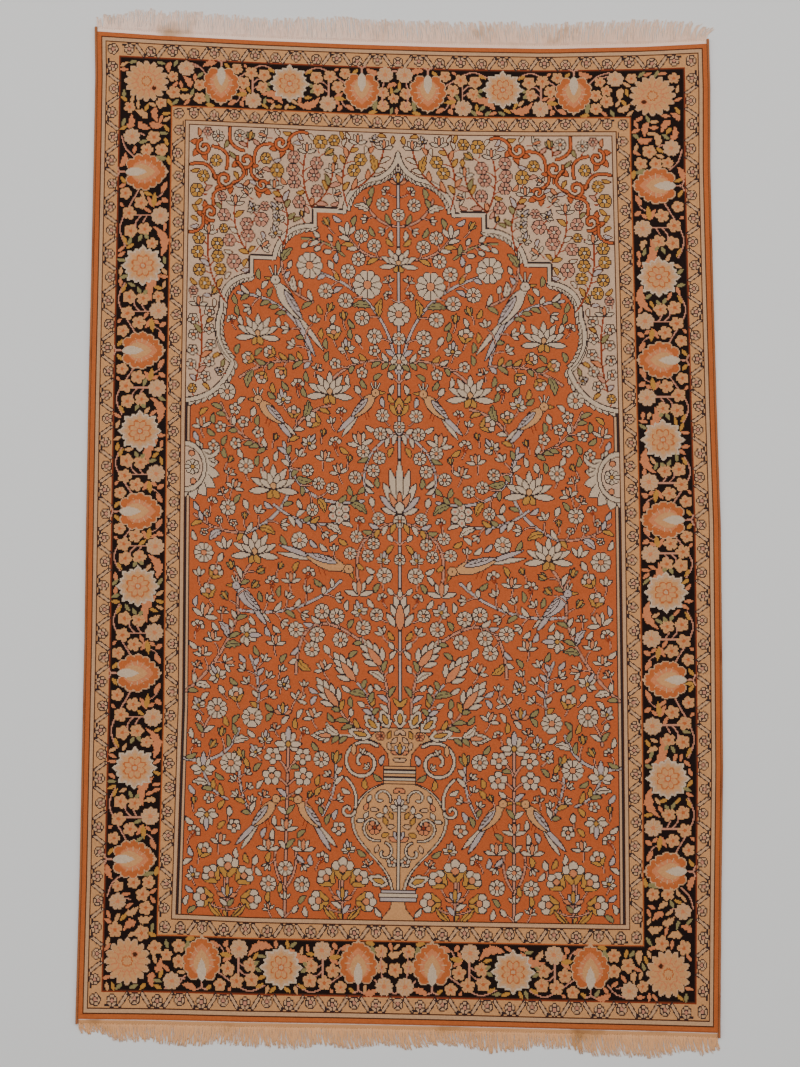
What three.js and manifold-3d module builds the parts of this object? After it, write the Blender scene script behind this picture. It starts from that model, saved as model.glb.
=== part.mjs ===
// A Kashmir silk rug lying flat: the pile body, an overcast selvedge down each side,
// and at each end a kilim strip that the warps leave as fringe.
// Millimetres, Z up, the floor at Z = 0, the far end of the prayer arch at +Y.

import * as THREE from 'three';
import Module from 'manifold-3d';
import { mergeVertices } from 'three/addons/utils/BufferGeometryUtils.js';

const wasm = await Module();
wasm.setup();

// Driving dimensions
const pileWidth = 769;
const pileLength = 1208;
const pileHeight = 4.6;
const edgeRound = 1.2;
const pieceGap = 0.3;
const selvedgeWidth = 3.2;
const selvedgeHeight = 4.4;
const kilimWidth = 6.4;
const kilimHeight = 1.6;
const kilimRimHeight = 1.3;

// The swell of the pile surface, and the length of its waves
const swell = 0.35;
const shortWave = 440;
const longWave = 1000;

// The locks that the warp ends gather in, at each end of the rug
const lockCount = 124;
const lockRootWidth = 4.6;
const lockTipWidth = 1.9;
const lockRootHeight = 1.2;
const lockTipHeight = 0.8;
const lockTopShare = 0.6;
const lockSunk = 1.5;
const lockBend = 0.55;
const reachUneven = 0.07;
const leanUneven = 0.35;

// How many steps each way the pieces are drawn in
const acrossSteps = 20;
const alongSteps = 32;

const halfWidth = pileWidth / 2;
const halfLength = pileLength / 2;

// How far each side strays outward from the true rectangle, going up the rug.
const sideRows = [
  { at: -600, left: 4.0, right: -1.0 },
  { at: -450, left: 1.2, right: 2.2 },
  { at: -300, left: 0.0, right: 5.8 },
  { at: -150, left: -1.7, right: 6.3 },
  { at: 0, left: -2.1, right: 6.4 },
  { at: 150, left: -3.1, right: 3.0 },
  { at: 300, left: -4.9, right: 0.5 },
  { at: 450, left: -6.5, right: -1.5 },
  { at: 550, left: -7.3, right: -0.4 },
  { at: 604, left: -6.0, right: -1.3 },
];

// How far each end strays outward from the true rectangle, going across the rug.
const endRows = [
  { at: -385, far: 25.5, near: -17.0 },
  { at: -300, far: 19.5, near: -16.0 },
  { at: -190, far: 14.0, near: -13.5 },
  { at: -60, far: 8.8, near: -11.4 },
  { at: 60, far: 5.2, near: -8.8 },
  { at: 190, far: 3.0, near: -5.5 },
  { at: 310, far: 5.6, near: -2.6 },
  { at: 385, far: 9.8, near: -0.4 },
];

// How far the fringe reaches past the pile, and how far its tips lean to the right.
const farFringe = [
  { at: -385, reach: 20, lean: -2 },
  { at: -362, reach: 27, lean: 0 },
  { at: -320, reach: 36, lean: 1 },
  { at: -285, reach: 35, lean: 1 },
  { at: -240, reach: 32, lean: 0 },
  { at: -140, reach: 32, lean: -1 },
  { at: -80, reach: 36, lean: -2 },
  { at: 20, reach: 34, lean: -3 },
  { at: 80, reach: 37, lean: -4 },
  { at: 150, reach: 35, lean: -4 },
  { at: 195, reach: 33, lean: 0 },
  { at: 240, reach: 37, lean: 3 },
  { at: 330, reach: 35, lean: 5 },
  { at: 362, reach: 31, lean: 5 },
  { at: 380, reach: 23, lean: 9 },
  { at: 385, reach: 17, lean: 12 },
];

const nearFringe = [
  { at: -385, reach: 20, lean: 4 },
  { at: -366, reach: 17, lean: 3 },
  { at: -345, reach: 27, lean: 3 },
  { at: -290, reach: 30, lean: 1 },
  { at: -245, reach: 31, lean: -3 },
  { at: -215, reach: 27, lean: -3 },
  { at: -180, reach: 32, lean: 0 },
  { at: -130, reach: 32, lean: 3 },
  { at: -95, reach: 28, lean: 3 },
  { at: -55, reach: 31, lean: 4 },
  { at: -18, reach: 26, lean: 3 },
  { at: 8, reach: 31, lean: 6 },
  { at: 45, reach: 24, lean: 5 },
  { at: 110, reach: 34, lean: 2 },
  { at: 160, reach: 26, lean: 0 },
  { at: 196, reach: 24, lean: 2 },
  { at: 226, reach: 34, lean: 6 },
  { at: 300, reach: 33, lean: 5 },
  { at: 345, reach: 24, lean: 4 },
  { at: 365, reach: 29, lean: 3 },
  { at: 385, reach: 20, lean: 2 },
];

const silk = new THREE.MeshStandardMaterial({ color: 0xa5613c, roughness: 0.75, metalness: 0 });
const overcastSilk = new THREE.MeshStandardMaterial({ color: 0xb8683a, roughness: 0.7, metalness: 0 });
const warpThread = new THREE.MeshStandardMaterial({ color: 0xd9c4b2, roughness: 0.85, metalness: 0 });

// A column of a table at a place between its rows.
function reading(rows, column, at) {
  let next = rows.findIndex((row) => row.at > at);
  if (next < 0) next = rows.length - 1;
  if (next === 0) next = 1;
  const low = rows[next - 1];
  const high = rows[next];
  const share = THREE.MathUtils.clamp((at - low.at) / (high.at - low.at), 0, 1);
  return THREE.MathUtils.lerp(low[column], high[column], share);
}

// The true rectangle drawn out to the rug's uneven edges. Both arguments are distances from
// the middle of the true rectangle.
function onRug(across, along) {
  const left = -halfWidth - reading(sideRows, 'left', along);
  const right = halfWidth + reading(sideRows, 'right', along);
  const near = -halfLength - reading(endRows, 'near', across);
  const far = halfLength + reading(endRows, 'far', across);
  return new THREE.Vector2(
    THREE.MathUtils.lerp(left, right, 0.5 + across / pileWidth),
    THREE.MathUtils.lerp(near, far, 0.5 + along / pileLength),
  );
}

// Even steps from one value to another, both ends included.
function steps(from, to, count) {
  return Array.from({ length: count + 1 }, (_, i) => THREE.MathUtils.lerp(from, to, i / count));
}

// A closed solid through rings of points. Each ring has the same number of points, going
// anticlockwise as seen from the next ring's side, and both ends are closed.
function loft(rings) {
  const size = rings[0].length;
  const points = rings.flat();
  const faces = [];
  for (let ring = 0; ring + 1 < rings.length; ring += 1) {
    for (let i = 0; i < size; i += 1) {
      const a = ring * size + i;
      const b = ring * size + (i + 1) % size;
      faces.push(a, b, b + size, a, b + size, a + size);
    }
  }
  const closeEnd = (ring, turned) => {
    const middle = new THREE.Vector3();
    rings[ring].forEach((point) => middle.addScaledVector(point, 1 / size));
    const hub = points.push(middle) - 1;
    for (let i = 0; i < size; i += 1) {
      const a = ring * size + i;
      const b = ring * size + (i + 1) % size;
      faces.push(hub, turned ? b : a, turned ? a : b);
    }
  };
  closeEnd(0, true);
  closeEnd(rings.length - 1, false);
  const geometry = new THREE.BufferGeometry().setFromPoints(points);
  geometry.setIndex(faces);
  return geometry;
}

// Where the pieces have their corners, so that neighbours follow each other's edges.
function stops(half, count) {
  return [-half, ...steps(edgeRound - half, half - edgeRound, count), half];
}

const acrossStops = stops(halfWidth, acrossSteps);
const alongStops = stops(halfLength, alongSteps);

// The pile surface lies a little high and low across the rug.
function surfaceHeight(across, along) {
  const wave = (length, distance) => 2 * Math.PI * distance / length;
  const first = Math.sin(wave(shortWave, across) + wave(longWave, along));
  const second = Math.cos(wave(shortWave, along) - wave(longWave, across));
  return pileHeight + swell * first * second;
}

// The pile body: flat underneath, its clipped top rounded off at the rim.
function pileBody() {
  const lastColumn = acrossStops.length - 1;
  const lastRow = alongStops.length - 1;
  const onRim = (i, j) => i === 0 || j === 0 || i === lastColumn || j === lastRow;
  const upper = [];
  const lower = [];
  alongStops.forEach((along, j) => acrossStops.forEach((across, i) => {
    const spot = onRug(across, along);
    const height = onRim(i, j) ? pileHeight - edgeRound : surfaceHeight(across, along);
    upper.push(new THREE.Vector3(spot.x, spot.y, height));
    lower.push(new THREE.Vector3(spot.x, spot.y, 0));
  }));

  const faces = [];
  const under = upper.length;
  const index = (i, j) => j * acrossStops.length + i;
  const addFour = (a, b, c, d) => faces.push(a, b, c, a, c, d);
  for (let j = 0; j < lastRow; j += 1) {
    for (let i = 0; i < lastColumn; i += 1) {
      const corners = [index(i, j), index(i + 1, j), index(i + 1, j + 1), index(i, j + 1)];
      addFour(...corners);
      addFour(...corners.map((corner) => corner + under).reverse());
    }
  }
  const wall = (a, b) => addFour(a + under, b + under, b, a);
  for (let i = 0; i < lastColumn; i += 1) {
    wall(index(i, 0), index(i + 1, 0));
    wall(index(i + 1, lastRow), index(i, lastRow));
  }
  for (let j = 0; j < lastRow; j += 1) {
    wall(index(0, j + 1), index(0, j));
    wall(index(lastColumn, j), index(lastColumn, j + 1));
  }
  const geometry = new THREE.BufferGeometry().setFromPoints([...upper, ...lower]);
  geometry.setIndex(faces);
  return geometry;
}

// One selvedge: silk wrapped round the edge warps, an upright oval with a flat foot. Its section
// gives shares of the selvedge's width and height. side is -1 for the left and 1 for the right.
function selvedge(side) {
  const stations = [-halfLength - kilimWidth, ...alongStops, halfLength + kilimWidth];
  const section = [
    { out: 0.15, up: 0 },
    { out: 0, up: 0.3 },
    { out: 0.05, up: 0.75 },
    { out: 0.35, up: 1 },
    { out: 0.7, up: 0.95 },
    { out: 1, up: 0.6 },
    { out: 0.95, up: 0.2 },
    { out: 0.8, up: 0 },
  ];
  const rings = stations.map((along) => section.map(({ out, up }) => {
    const spot = onRug(side * halfWidth, along);
    const away = pieceGap + out * selvedgeWidth;
    return new THREE.Vector3(spot.x + side * away, spot.y, up * selvedgeHeight);
  }));
  if (side < 0) rings.forEach((ring) => ring.reverse());
  return loft(rings);
}

// A solid for joining, from a closed mesh.
function toSolid(geometry) {
  const merged = mergeVertices(geometry);
  return new wasm.Manifold(new wasm.Mesh({
    numProp: 3,
    vertProperties: new Float32Array(merged.attributes.position.array),
    triVerts: new Uint32Array(merged.index.array),
  }));
}

function toGeometry(solid) {
  const mesh = solid.getMesh();
  const geometry = new THREE.BufferGeometry();
  geometry.setAttribute('position', new THREE.BufferAttribute(mesh.vertProperties, 3));
  geometry.setIndex(new THREE.BufferAttribute(mesh.triVerts, 1));
  return geometry;
}

// An uneven share between -1 and 1 that is the same for each lock every time.
function unevenness(lock, kind) {
  const wave = Math.sin(lock * 12.9898 + kind * 78.233) * 43758.5453;
  return (wave - Math.floor(wave)) * 2 - 1;
}

// One end: the kilim strip with the warp ends gathered in locks along its outer edge.
// end is 1 for the far end and -1 for the near end.
function fringedEnd(end, table) {
  const stripRing = (across) => {
    const spot = onRug(across, end * halfLength);
    const inner = spot.y + end * pieceGap;
    const outer = spot.y + end * kilimWidth;
    return [
      new THREE.Vector3(spot.x, inner, 0),
      new THREE.Vector3(spot.x, inner, kilimHeight),
      new THREE.Vector3(spot.x, outer, kilimRimHeight),
      new THREE.Vector3(spot.x, outer, 0),
    ];
  };
  const stripRings = acrossStops.map(stripRing);
  if (end > 0) stripRings.forEach((ring) => ring.reverse());
  let solid = toSolid(loft(stripRings));

  const pitch = pileWidth / lockCount;
  for (let lock = 0; lock < lockCount; lock += 1) {
    const across = -halfWidth + (lock + 0.5) * pitch;
    const root = onRug(across, end * halfLength);
    const reach = reading(table, 'reach', across) * (1 - reachUneven + reachUneven * unevenness(lock, 1));
    const lean = reading(table, 'lean', across) + leanUneven * unevenness(lock, 2);
    const start = kilimWidth - lockSunk;
    const lockRings = [0, lockBend, 1].map((share) => {
      const half = THREE.MathUtils.lerp(lockRootWidth, lockTipWidth, share) / 2;
      const height = THREE.MathUtils.lerp(lockRootHeight, lockTipHeight, share);
      const x = root.x + lean * share * share;
      const y = root.y + end * THREE.MathUtils.lerp(start, reach, share);
      return [
        new THREE.Vector3(x - half, y, 0),
        new THREE.Vector3(x - half * lockTopShare, y, height),
        new THREE.Vector3(x + half * lockTopShare, y, height),
        new THREE.Vector3(x + half, y, 0),
      ];
    });
    if (end < 0) lockRings.forEach((ring) => ring.reverse());
    solid = solid.add(toSolid(loft(lockRings)));
  }
  return toGeometry(solid);
}

function named(name, geometry, material) {
  const mesh = new THREE.Mesh(geometry, material);
  mesh.name = name;
  return mesh;
}

const rug = new THREE.Group();
rug.add(named('pile_body', pileBody(), silk));
rug.add(named('left_selvedge', selvedge(-1), overcastSilk));
rug.add(named('right_selvedge', selvedge(1), overcastSilk));
rug.add(named('far_fringe', fringedEnd(1, farFringe), warpThread));
rug.add(named('near_fringe', fringedEnd(-1, nearFringe), warpThread));

// The origin is under the middle of the whole rug, on the floor.
const reachBox = new THREE.Box3().setFromObject(rug);
const middle = reachBox.getCenter(new THREE.Vector3());
rug.position.set(-middle.x, -middle.y, -reachBox.min.z);

const group = new THREE.Group();
group.add(rug);

export default group;
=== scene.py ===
import math

import bmesh
import bpy
import numpy as np
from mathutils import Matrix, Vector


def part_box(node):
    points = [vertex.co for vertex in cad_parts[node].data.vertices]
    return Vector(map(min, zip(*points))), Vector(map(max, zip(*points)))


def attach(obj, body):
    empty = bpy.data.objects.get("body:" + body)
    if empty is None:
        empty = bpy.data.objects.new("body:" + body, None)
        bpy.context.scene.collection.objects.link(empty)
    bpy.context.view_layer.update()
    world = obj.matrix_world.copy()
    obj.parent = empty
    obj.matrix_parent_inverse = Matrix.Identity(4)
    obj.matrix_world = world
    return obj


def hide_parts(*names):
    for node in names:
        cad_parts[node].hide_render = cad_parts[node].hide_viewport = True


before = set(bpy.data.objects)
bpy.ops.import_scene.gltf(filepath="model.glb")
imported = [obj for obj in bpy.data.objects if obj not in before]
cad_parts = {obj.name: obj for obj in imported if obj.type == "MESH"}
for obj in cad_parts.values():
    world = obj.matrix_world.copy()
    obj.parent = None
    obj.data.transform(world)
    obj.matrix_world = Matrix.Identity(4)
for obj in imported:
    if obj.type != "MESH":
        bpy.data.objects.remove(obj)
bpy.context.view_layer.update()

# The knotted pile.
# A silk prayer rug is tied knot by knot along its rows from a drawn chart, then clipped short.
# Places on the chart are in millimetres: across from the middle line, and up from the near edge.
millimetre = 0.001
half_width = 384.5
pile_length = 1208.0
half_length = pile_length / 2
border_depth = 113.7
field_half = half_width - border_depth
knot_columns = 606
knot_rows = 952
knot_width = 2 * half_width / knot_columns
knot_height = pile_length / knot_rows

silk_colours = {
    "rust": "B0542A",
    "orange": "AE5A2C",
    "ivory": "BDA388",
    "lilac": "A9958C",
    "salmon": "C0734A",
    "rose": "B67A60",
    "beige": "BF8757",
    "cream": "BA8F6A",
    "blush": "BF9C7F",
    "gold": "AE7834",
    "olive": "83744A",
    "navy": "30211F",
    "black": "180A06",
    "brown": "45200F",
    "madder": "80331A",
}
dyes = {name: index for index, name in enumerate(silk_colours)}


def rows(columns, *values):
    """A short table: each row of values under the named columns."""
    names = columns.split()
    return [dict(zip(names, row, strict=True)) for row in values]


def smooth(points, step=2.5):
    """A rounded line through the points."""
    points = np.asarray(points, float)
    if len(points) < 3:
        return points
    padded = np.vstack((2 * points[0] - points[1], points, 2 * points[-1] - points[-2]))
    path = []
    for before, here, there, after in zip(padded, padded[1:], padded[2:], padded[3:]):
        count = max(2, math.ceil(np.hypot(*(there - here)) / step))
        share = (np.arange(count) / count)[:, None]
        bend = before - 2.5 * here + 2 * there - after / 2
        swing = 1.5 * (here - there) + (after - before) / 2
        path.append(here + share * (there - before) / 2 + share**2 * bend + share**3 * swing)
    return np.vstack((*path, points[-1:]))


def from_line(path, x, y):
    """How far each knot is from a line of straight steps."""
    start, run = path[:-1], np.diff(path, axis=0)
    span = np.maximum((run**2).sum(1), 1e-9)
    off_x, off_y = x[..., None] - start[:, 0], y[..., None] - start[:, 1]
    share = np.clip((off_x * run[:, 0] + off_y * run[:, 1]) / span, 0, 1)
    return np.hypot(off_x - share * run[:, 0], off_y - share * run[:, 1]).min(-1)


def enclosed(outline, x, y):
    """Which knots are inside a closed outline."""
    start, end = outline, np.roll(outline, -1, axis=0)
    crossed = (start[:, 1] > y[..., None]) != (end[:, 1] > y[..., None])
    rise = np.where(end[:, 1] == start[:, 1], 1, end[:, 1] - start[:, 1])
    at = start[:, 0] + (y[..., None] - start[:, 1]) * (end[:, 0] - start[:, 0]) / rise
    return (crossed & (x[..., None] < at)).sum(-1) % 2 == 1


def turned(points, x, y, heading):
    """Points given to the right and forward of a spot, placed for a heading in degrees from across."""
    points = np.asarray(points, float).reshape(-1, 2)
    cos, sin = math.cos(math.radians(heading)), math.sin(math.radians(heading))
    right, forward = points.T
    return np.stack((x + forward * cos + right * sin, y + forward * sin - right * cos), 1)


def facing(start, end):
    """The heading from one place to another, in degrees from across."""
    return math.degrees(math.atan2(end[1] - start[1], end[0] - start[0]))


class Chart:
    """The knotter's chart: which silk each knot is tied in."""

    def __init__(self, ground):
        self.knots = np.full((knot_rows, knot_columns), dyes[ground], np.uint8)
        self.across = (np.arange(knot_columns) + 0.5) * knot_width - half_width
        self.up = (np.arange(knot_rows) + 0.5) * knot_height

    def patch(self, low, high):
        """The knots in a box, and their places."""
        columns = slice(*np.searchsorted(self.across, (low[0], high[0])))
        lines = slice(*np.searchsorted(self.up, (low[1], high[1])))
        x, y = np.meshgrid(self.across[columns], self.up[lines])
        return self.knots[lines, columns], x, y

    def round_patch(self, x, y, reach):
        """The knots about a place, with how far out and which way round from it each of them is."""
        patch, knot_x, knot_y = self.patch((x - reach, y - reach), (x + reach, y + reach))
        return patch, np.hypot(knot_x - x, knot_y - y), np.arctan2(knot_y - y, knot_x - x)

    def fill(self, outline, silk, edge=None, rim=1.25):
        """A closed shape in one silk, with a thin line round it in another."""
        outline = np.asarray(outline, float)
        patch, x, y = self.patch(outline.min(0) - rim, outline.max(0) + rim)
        if patch.size == 0:
            return
        inside = enclosed(outline, x, y)
        if edge:
            patch[~inside & (from_line(np.vstack((outline, outline[:1])), x, y) < rim)] = dyes[edge]
        patch[inside] = dyes[silk]

    def block(self, left, right, low, high, silk):
        """An upright box in one silk."""
        patch, _, _ = self.patch((left, low), (right, high))
        patch[:] = dyes[silk]

    def stroke(self, points, silk, width=1.4, edge=None, rim=1.1):
        """A rounded line in one silk, with a thin line on both sides in another."""
        path = smooth(points)
        for reach, thread in ((width / 2 + rim, edge), (width / 2, silk)):
            if thread is None:
                continue
            for pair in zip(path[:-1], path[1:]):
                pair = np.array(pair)
                patch, x, y = self.patch(pair.min(0) - reach, pair.max(0) + reach)
                if patch.size:
                    patch[from_line(pair, x, y) < reach] = dyes[thread]

    def dot(self, x, y, radius, silk, edge=None, tall=1.0):
        """A round shape, or an oval where tall isn't 1."""
        turn = np.linspace(0, 2 * math.pi, 18, endpoint=False)
        self.fill(np.stack((x + radius * np.cos(turn), y + radius * tall * np.sin(turn)), 1), silk, edge)

    def leaf(self, x, y, to_x, to_y, width, silk, edge="navy", bend=0.0, teeth=0, vein=None, full=0.45):
        """A leaf or petal from its base to its tip. bend bows it to its right, as a share of its length."""
        length = math.hypot(to_x - x, to_y - y)
        heading = facing((x, y), (to_x, to_y))
        along = np.linspace(0, 1, 9 + 4 * teeth)
        body = np.sin(math.pi * along ** (math.log(0.5) / math.log(full))) ** 0.8
        if teeth:
            body = body * (0.72 + 0.5 * (along * teeth % 1))
        spine = 4 * bend * length * along * (1 - along)
        right = np.stack((spine + body * width / 2, along * length), 1)
        left = np.stack((spine - body * width / 2, along * length), 1)
        self.fill(turned(np.vstack((right, left[::-1])), x, y, heading), silk, edge)
        if vein:
            middle = np.stack((spine, along * length), 1)[1:-2]
            self.stroke(turned(middle, x, y, heading), vein, 0.9)

    def rosette(self, x, y, radius, petals=8, silk="ivory", heart="salmon", edge="navy", turn=0.0, core=0.3):
        """A round flower seen from above, its petals parted by thin lines."""
        patch, out, around = self.round_patch(x, y, radius + 2)
        if patch.size == 0:
            return
        around = around - math.radians(turn)
        lobe = np.abs(np.cos(petals * around / 2))
        brim = radius * (0.84 + 0.16 * np.sqrt(lobe))
        parting = out * np.abs(np.sin((around * petals / (2 * math.pi) % 1 - 0.5) * 2 * math.pi / petals))
        patch[out < brim + 1.2] = dyes[edge]
        patch[out < brim] = dyes[silk]
        patch[(out < brim) & (parting < 0.62) & (out > core * radius)] = dyes[edge]
        patch[out < core * radius + 0.5] = dyes[edge]
        patch[out < core * radius - 0.4] = dyes[heart]

    def blossom(self, x, y, radius, petals=5, silk="beige", line="salmon", heart="orange", turn=90.0):
        """A small open flower with no outline: round petals, each with a line down its middle."""
        petal = radius * (0.42 if petals < 7 else 0.26)
        for number in range(petals):
            self.dot(*turned([(0, radius - petal)], x, y, turn + 360 * number / petals)[0], petal, silk)
        self.dot(x, y, (0.6 if petals < 7 else 0.86) * radius, silk)
        for number in range(petals):
            line_ends = turned([(0, 0.3 * radius), (0, 0.74 * radius)], x, y, turn + 360 * number / petals)
            self.stroke(line_ends, line, 1.3)
        self.dot(x, y, 0.24 * radius, heart)

    def pansy(self, x, y, size, heading):
        """A flower seen from the side: three round petals forward and two narrow ones behind."""
        for angle in (-130, 130):
            petal = turned([(0, 0.6 * size)], x, y, heading + angle)[0]
            across = turned([(-0.45 * size, 0), (0.45 * size, 0)], *petal, heading + angle)
            self.stroke(across, "gold", 0.42 * size, "navy", 1.2)
        for angle in (-62, 62, 0):
            petal = turned([(0, 0.63 * size)], x, y, heading + angle)[0]
            self.dot(*petal, 0.37 * size, "ivory", "navy")
        self.dot(x, y, 0.3 * size, "salmon", "navy")

    def ring(self, x, y, size, heading, petals=5):
        """A ring of round petals about a round heart."""
        petal_size = size * min(0.36, 2.0 / petals)
        for petal in range(petals):
            place = turned([(0, size - petal_size)], x, y, heading + 360 * petal / petals)[0]
            self.dot(*place, petal_size, "ivory", "navy")
        self.dot(x, y, 0.26 * size, "salmon", "navy")

    def spray(self, x, y, size, heading, kind):
        """A flower of pointed petals, rank over rank, that spring from a place behind its middle."""
        base = turned([(0, -0.5 * size)], x, y, heading)[0]
        for rank in spray_ranks[kind]:
            for angle in np.linspace(-rank["spread"], rank["spread"], rank["count"]):
                way = heading + angle
                root = turned([(0, rank["start"] * size)], *base, way)[0]
                tip = turned([(0, rank["reach"] * size)], *base, way)[0]
                self.leaf(*root, *tip, rank["width"] * size, rank["silk"], full=0.55)

    def plume(self, x, y, size, heading):
        """A large bud of overlapping leaflets in pairs, round a pale orange heart."""
        self.leaf(*turned([(0, 0.2 * size), (0, size)], x, y, heading).ravel(), 0.3 * size, "ivory")
        for pair in range(3):
            out, forward = 0.18 + 0.14 * pair, 0.05 - 0.42 * pair
            for hand in (-1, 1):
                ends = turned([(hand * out / 2, forward), (hand * out * 1.4, forward + 0.62)], 0, 0, heading)
                self.leaf(*(ends * size + (x, y)).ravel(), 0.26 * size, "ivory")
        self.leaf(*turned([(0, -size), (0, 0.3 * size)], x, y, heading).ravel(), 0.4 * size, "salmon")

    def bud(self, x, y, size, heading):
        """A closed bud between two small green leaves."""
        for angle in (-38, 38):
            foot = turned([(0, -size)], x, y, heading)[0]
            tip = turned([(0, 0.7 * size)], x, y, heading + angle)[0]
            self.leaf(*foot, *tip, 0.6 * size, "olive")
        self.leaf(*turned([(0, -size), (0, size)], x, y, heading).ravel(), 1.1 * size, "ivory")

    def berries(self, x, y, size, heading):
        """A few round berries on thin dark red twigs."""
        foot = turned([(0, -size)], x, y, heading)[0]
        for angle in (-70, -20, 30, 75):
            berry = turned([(0, 0.75 * size)], x, y, heading + angle)[0]
            self.stroke([foot, berry], "madder", 1.1)
            self.dot(*berry, 0.3 * size, "ivory", "navy")

    def cluster(self, x, y, size, heading):
        """Small ringed flowers crowded into one head."""
        for number in range(7):
            place = turned([(0, 0.62 * size if number < 6 else 0)], x, y, heading + 60 * number)[0]
            self.dot(*place, 0.3 * size, "ivory", "navy")
            self.dot(*place, 0.12 * size, "rose")

    def bloom(self, kind, x, y, size, heading):
        """One flower, bud or head of berries about a place, facing a heading."""
        if kind in rosette_silks:
            petals = 10 if size > 11 else 8 if kind == "rosette" else 6
            self.rosette(x, y, size, petals, *rosette_silks[kind])
        elif kind in spray_ranks:
            self.spray(x, y, size, heading, kind)
        else:
            ways = {
                "pansy": self.pansy, "ring": self.ring, "plume": self.plume, "bud": self.bud,
                "berries": self.berries, "cluster": self.cluster,
            }
            ways[kind](x, y, size, heading)

    def free(self, x, y, radius, ground):
        """Whether a round place still holds nothing but its ground."""
        patch, out, _ = self.round_patch(x, y, radius)
        return bool(np.all(patch[out < radius] == dyes[ground]))


# Each rosette's petals and heart.
rosette_silks = {
    "rosette": ("ivory", "salmon"), "gold rosette": ("gold", "ivory"), "rose rosette": ("rose", "ivory"),
}
# The ranks of petals of each pointed flower: how many, spread over how many degrees to each hand,
# and the rest as shares of the flower's size.
petal_columns = "count spread start reach width silk"
spray_ranks = {
    "lily": rows(
        petal_columns, (2, 66, 0.1, 1.2, 0.4, "salmon"), (2, 26, 0.1, 1.3, 0.4, "lilac"),
        (1, 0, 0.1, 1.5, 0.4, "gold"),
    ),
    "tulip": rows(petal_columns, (2, 44, 0, 1.3, 0.45, "ivory"), (1, 0, 0, 1.4, 0.45, "ivory")),
    "crocus": rows(petal_columns, (2, 24, 0, 1.3, 0.36, "olive"), (1, 0, 0, 1.5, 0.45, "gold")),
    "fan": rows(petal_columns, (4, 75, 0, 1.3, 0.42, "ivory"), (1, 0, 0, 1.3, 0.4, "salmon")),
    "iris": rows(
        petal_columns, (2, 118, 0.1, 0.9, 0.5, "ivory"), (4, 84, 0.1, 1.1, 0.5, "ivory"),
        (1, 0, 0.1, 1.5, 0.42, "lilac"), (1, 0, -0.15, 0.3, 0.4, "gold"),
    ),
    "lotus": rows(
        petal_columns, (2, 150, 0, 0.6, 0.34, "gold"), (7, 96, 0.2, 1.4, 0.34, "ivory"),
        (4, 54, 0.1, 0.95, 0.3, "ivory"), (1, 0, 0, 0.4, 0.3, "beige"),
    ),
    "palmette": rows(
        petal_columns, (2, 74, 0, 0.62, 0.2, "ivory"), (2, 48, 0, 0.86, 0.22, "lilac"),
        (2, 28, 0.05, 1.15, 0.24, "ivory"), (2, 12, 0.1, 1.5, 0.24, "ivory"),
        (1, 0, 0.1, 1.8, 0.22, "ivory"), (3, 26, 0, 0.75, 0.16, "salmon"), (1, 0, 0, 0.4, 0.3, "ivory"),
    ),
    "gold bud": rows(
        petal_columns, (2, 40, 0, 1.1, 0.5, "gold"), (1, 0, 0, 1.5, 0.6, "gold"),
        (1, 0, 0.2, 0.9, 0.28, "salmon"),
    ),
}


# The field's ground is laid on its right half only, so that nothing grows past it.
chart = Chart("black")
chart.block(0, field_half, border_depth, pile_length - border_depth, "rust")


def chance(number, kind=0):
    """A value from 0 to 1 that looks random and is the same each time."""
    return math.sin(number * 12.9898 + kind * 78.233) * 43758.5453 % 1


def sown(left, right, low, high, pitch):
    """Numbered places in rows over an area, from its lowest row up."""
    return enumerate((x, y) for y in np.arange(low, high, pitch) for x in np.arange(left, right, pitch))


def astray(number, x, y, reach):
    """A numbered place moved a little, over a square as wide as the reach."""
    return x + reach * (chance(number, 1) - 0.5), y + reach * (chance(number, 2) - 0.5)


def bowed(x, y, to_x, to_y, bow):
    """A line bowed to its right by a share of its length."""
    length = math.hypot(to_x - x, to_y - y)
    share = np.linspace(0, 1, 11)
    points = np.stack((4 * bow * length * share * (1 - share), share * length), 1)
    return turned(points, x, y, facing((x, y), (to_x, to_y)))


def stem_path(stem):
    """The bow of one stem of a table."""
    return bowed(stem["x"], stem["y"], stem["to_x"], stem["to_y"], stem["bow"])


def turned_over(row, axis):
    """A row of a table mirrored about an upright line."""
    row = dict(row)
    for place in ("x", "to_x"):
        if place in row:
            row[place] = 2 * axis - row[place]
    if "heading" in row:
        row["heading"] = 180 - row["heading"]
    if "bow" in row:
        row["bow"] = -row["bow"]
    return row


bed_axis = 138.5


def with_twins(table):
    """The rows of a table. One marked as a twin is there again on the other side of the bed's stem."""
    for row in table:
        twin = row.pop("twin")
        yield row
        if twin:
            yield turned_over(row, bed_axis)


# The vase: a pear-shaped body on a banded foot, a banded neck, a flared mouth and two scroll handles.
# Each outline is half of the vase, from its middle line outward.
foot_low = 137
belly_low, belly_line, belly_high = 151, 233, 281
belly_half, neck_half, stem_half = 58, 14, 9
neck_high, mouth_low, mouth_high = 300, 335, 348
mouth_half, mouth_top_half = 39, 21
neck_bands = 5
neck_band_pitch = 4.4


def belly(inset=0.0):
    """Half the body's outline: a wave below its widest line and part of an oval above it."""
    low = np.linspace(belly_low, belly_line, 12)
    rise = 0.5 + 0.5 * np.cos(math.pi * (belly_line - low) / (belly_line - belly_low))
    high = np.linspace(belly_line, belly_high, 12)[1:]
    fall = np.sqrt(1 - ((high - belly_line) / (belly_high - belly_line + 2)) ** 2)
    out = np.concatenate((stem_half + (belly_half - stem_half) * rise, belly_half * fall)) - inset
    return np.stack((np.maximum(out, 0), np.concatenate((low, high))), 1)


def upright(outline):
    """A half outline closed along the middle line."""
    return [(-4, outline[0][1]), *outline, (-4, outline[-1][1])]


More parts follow.
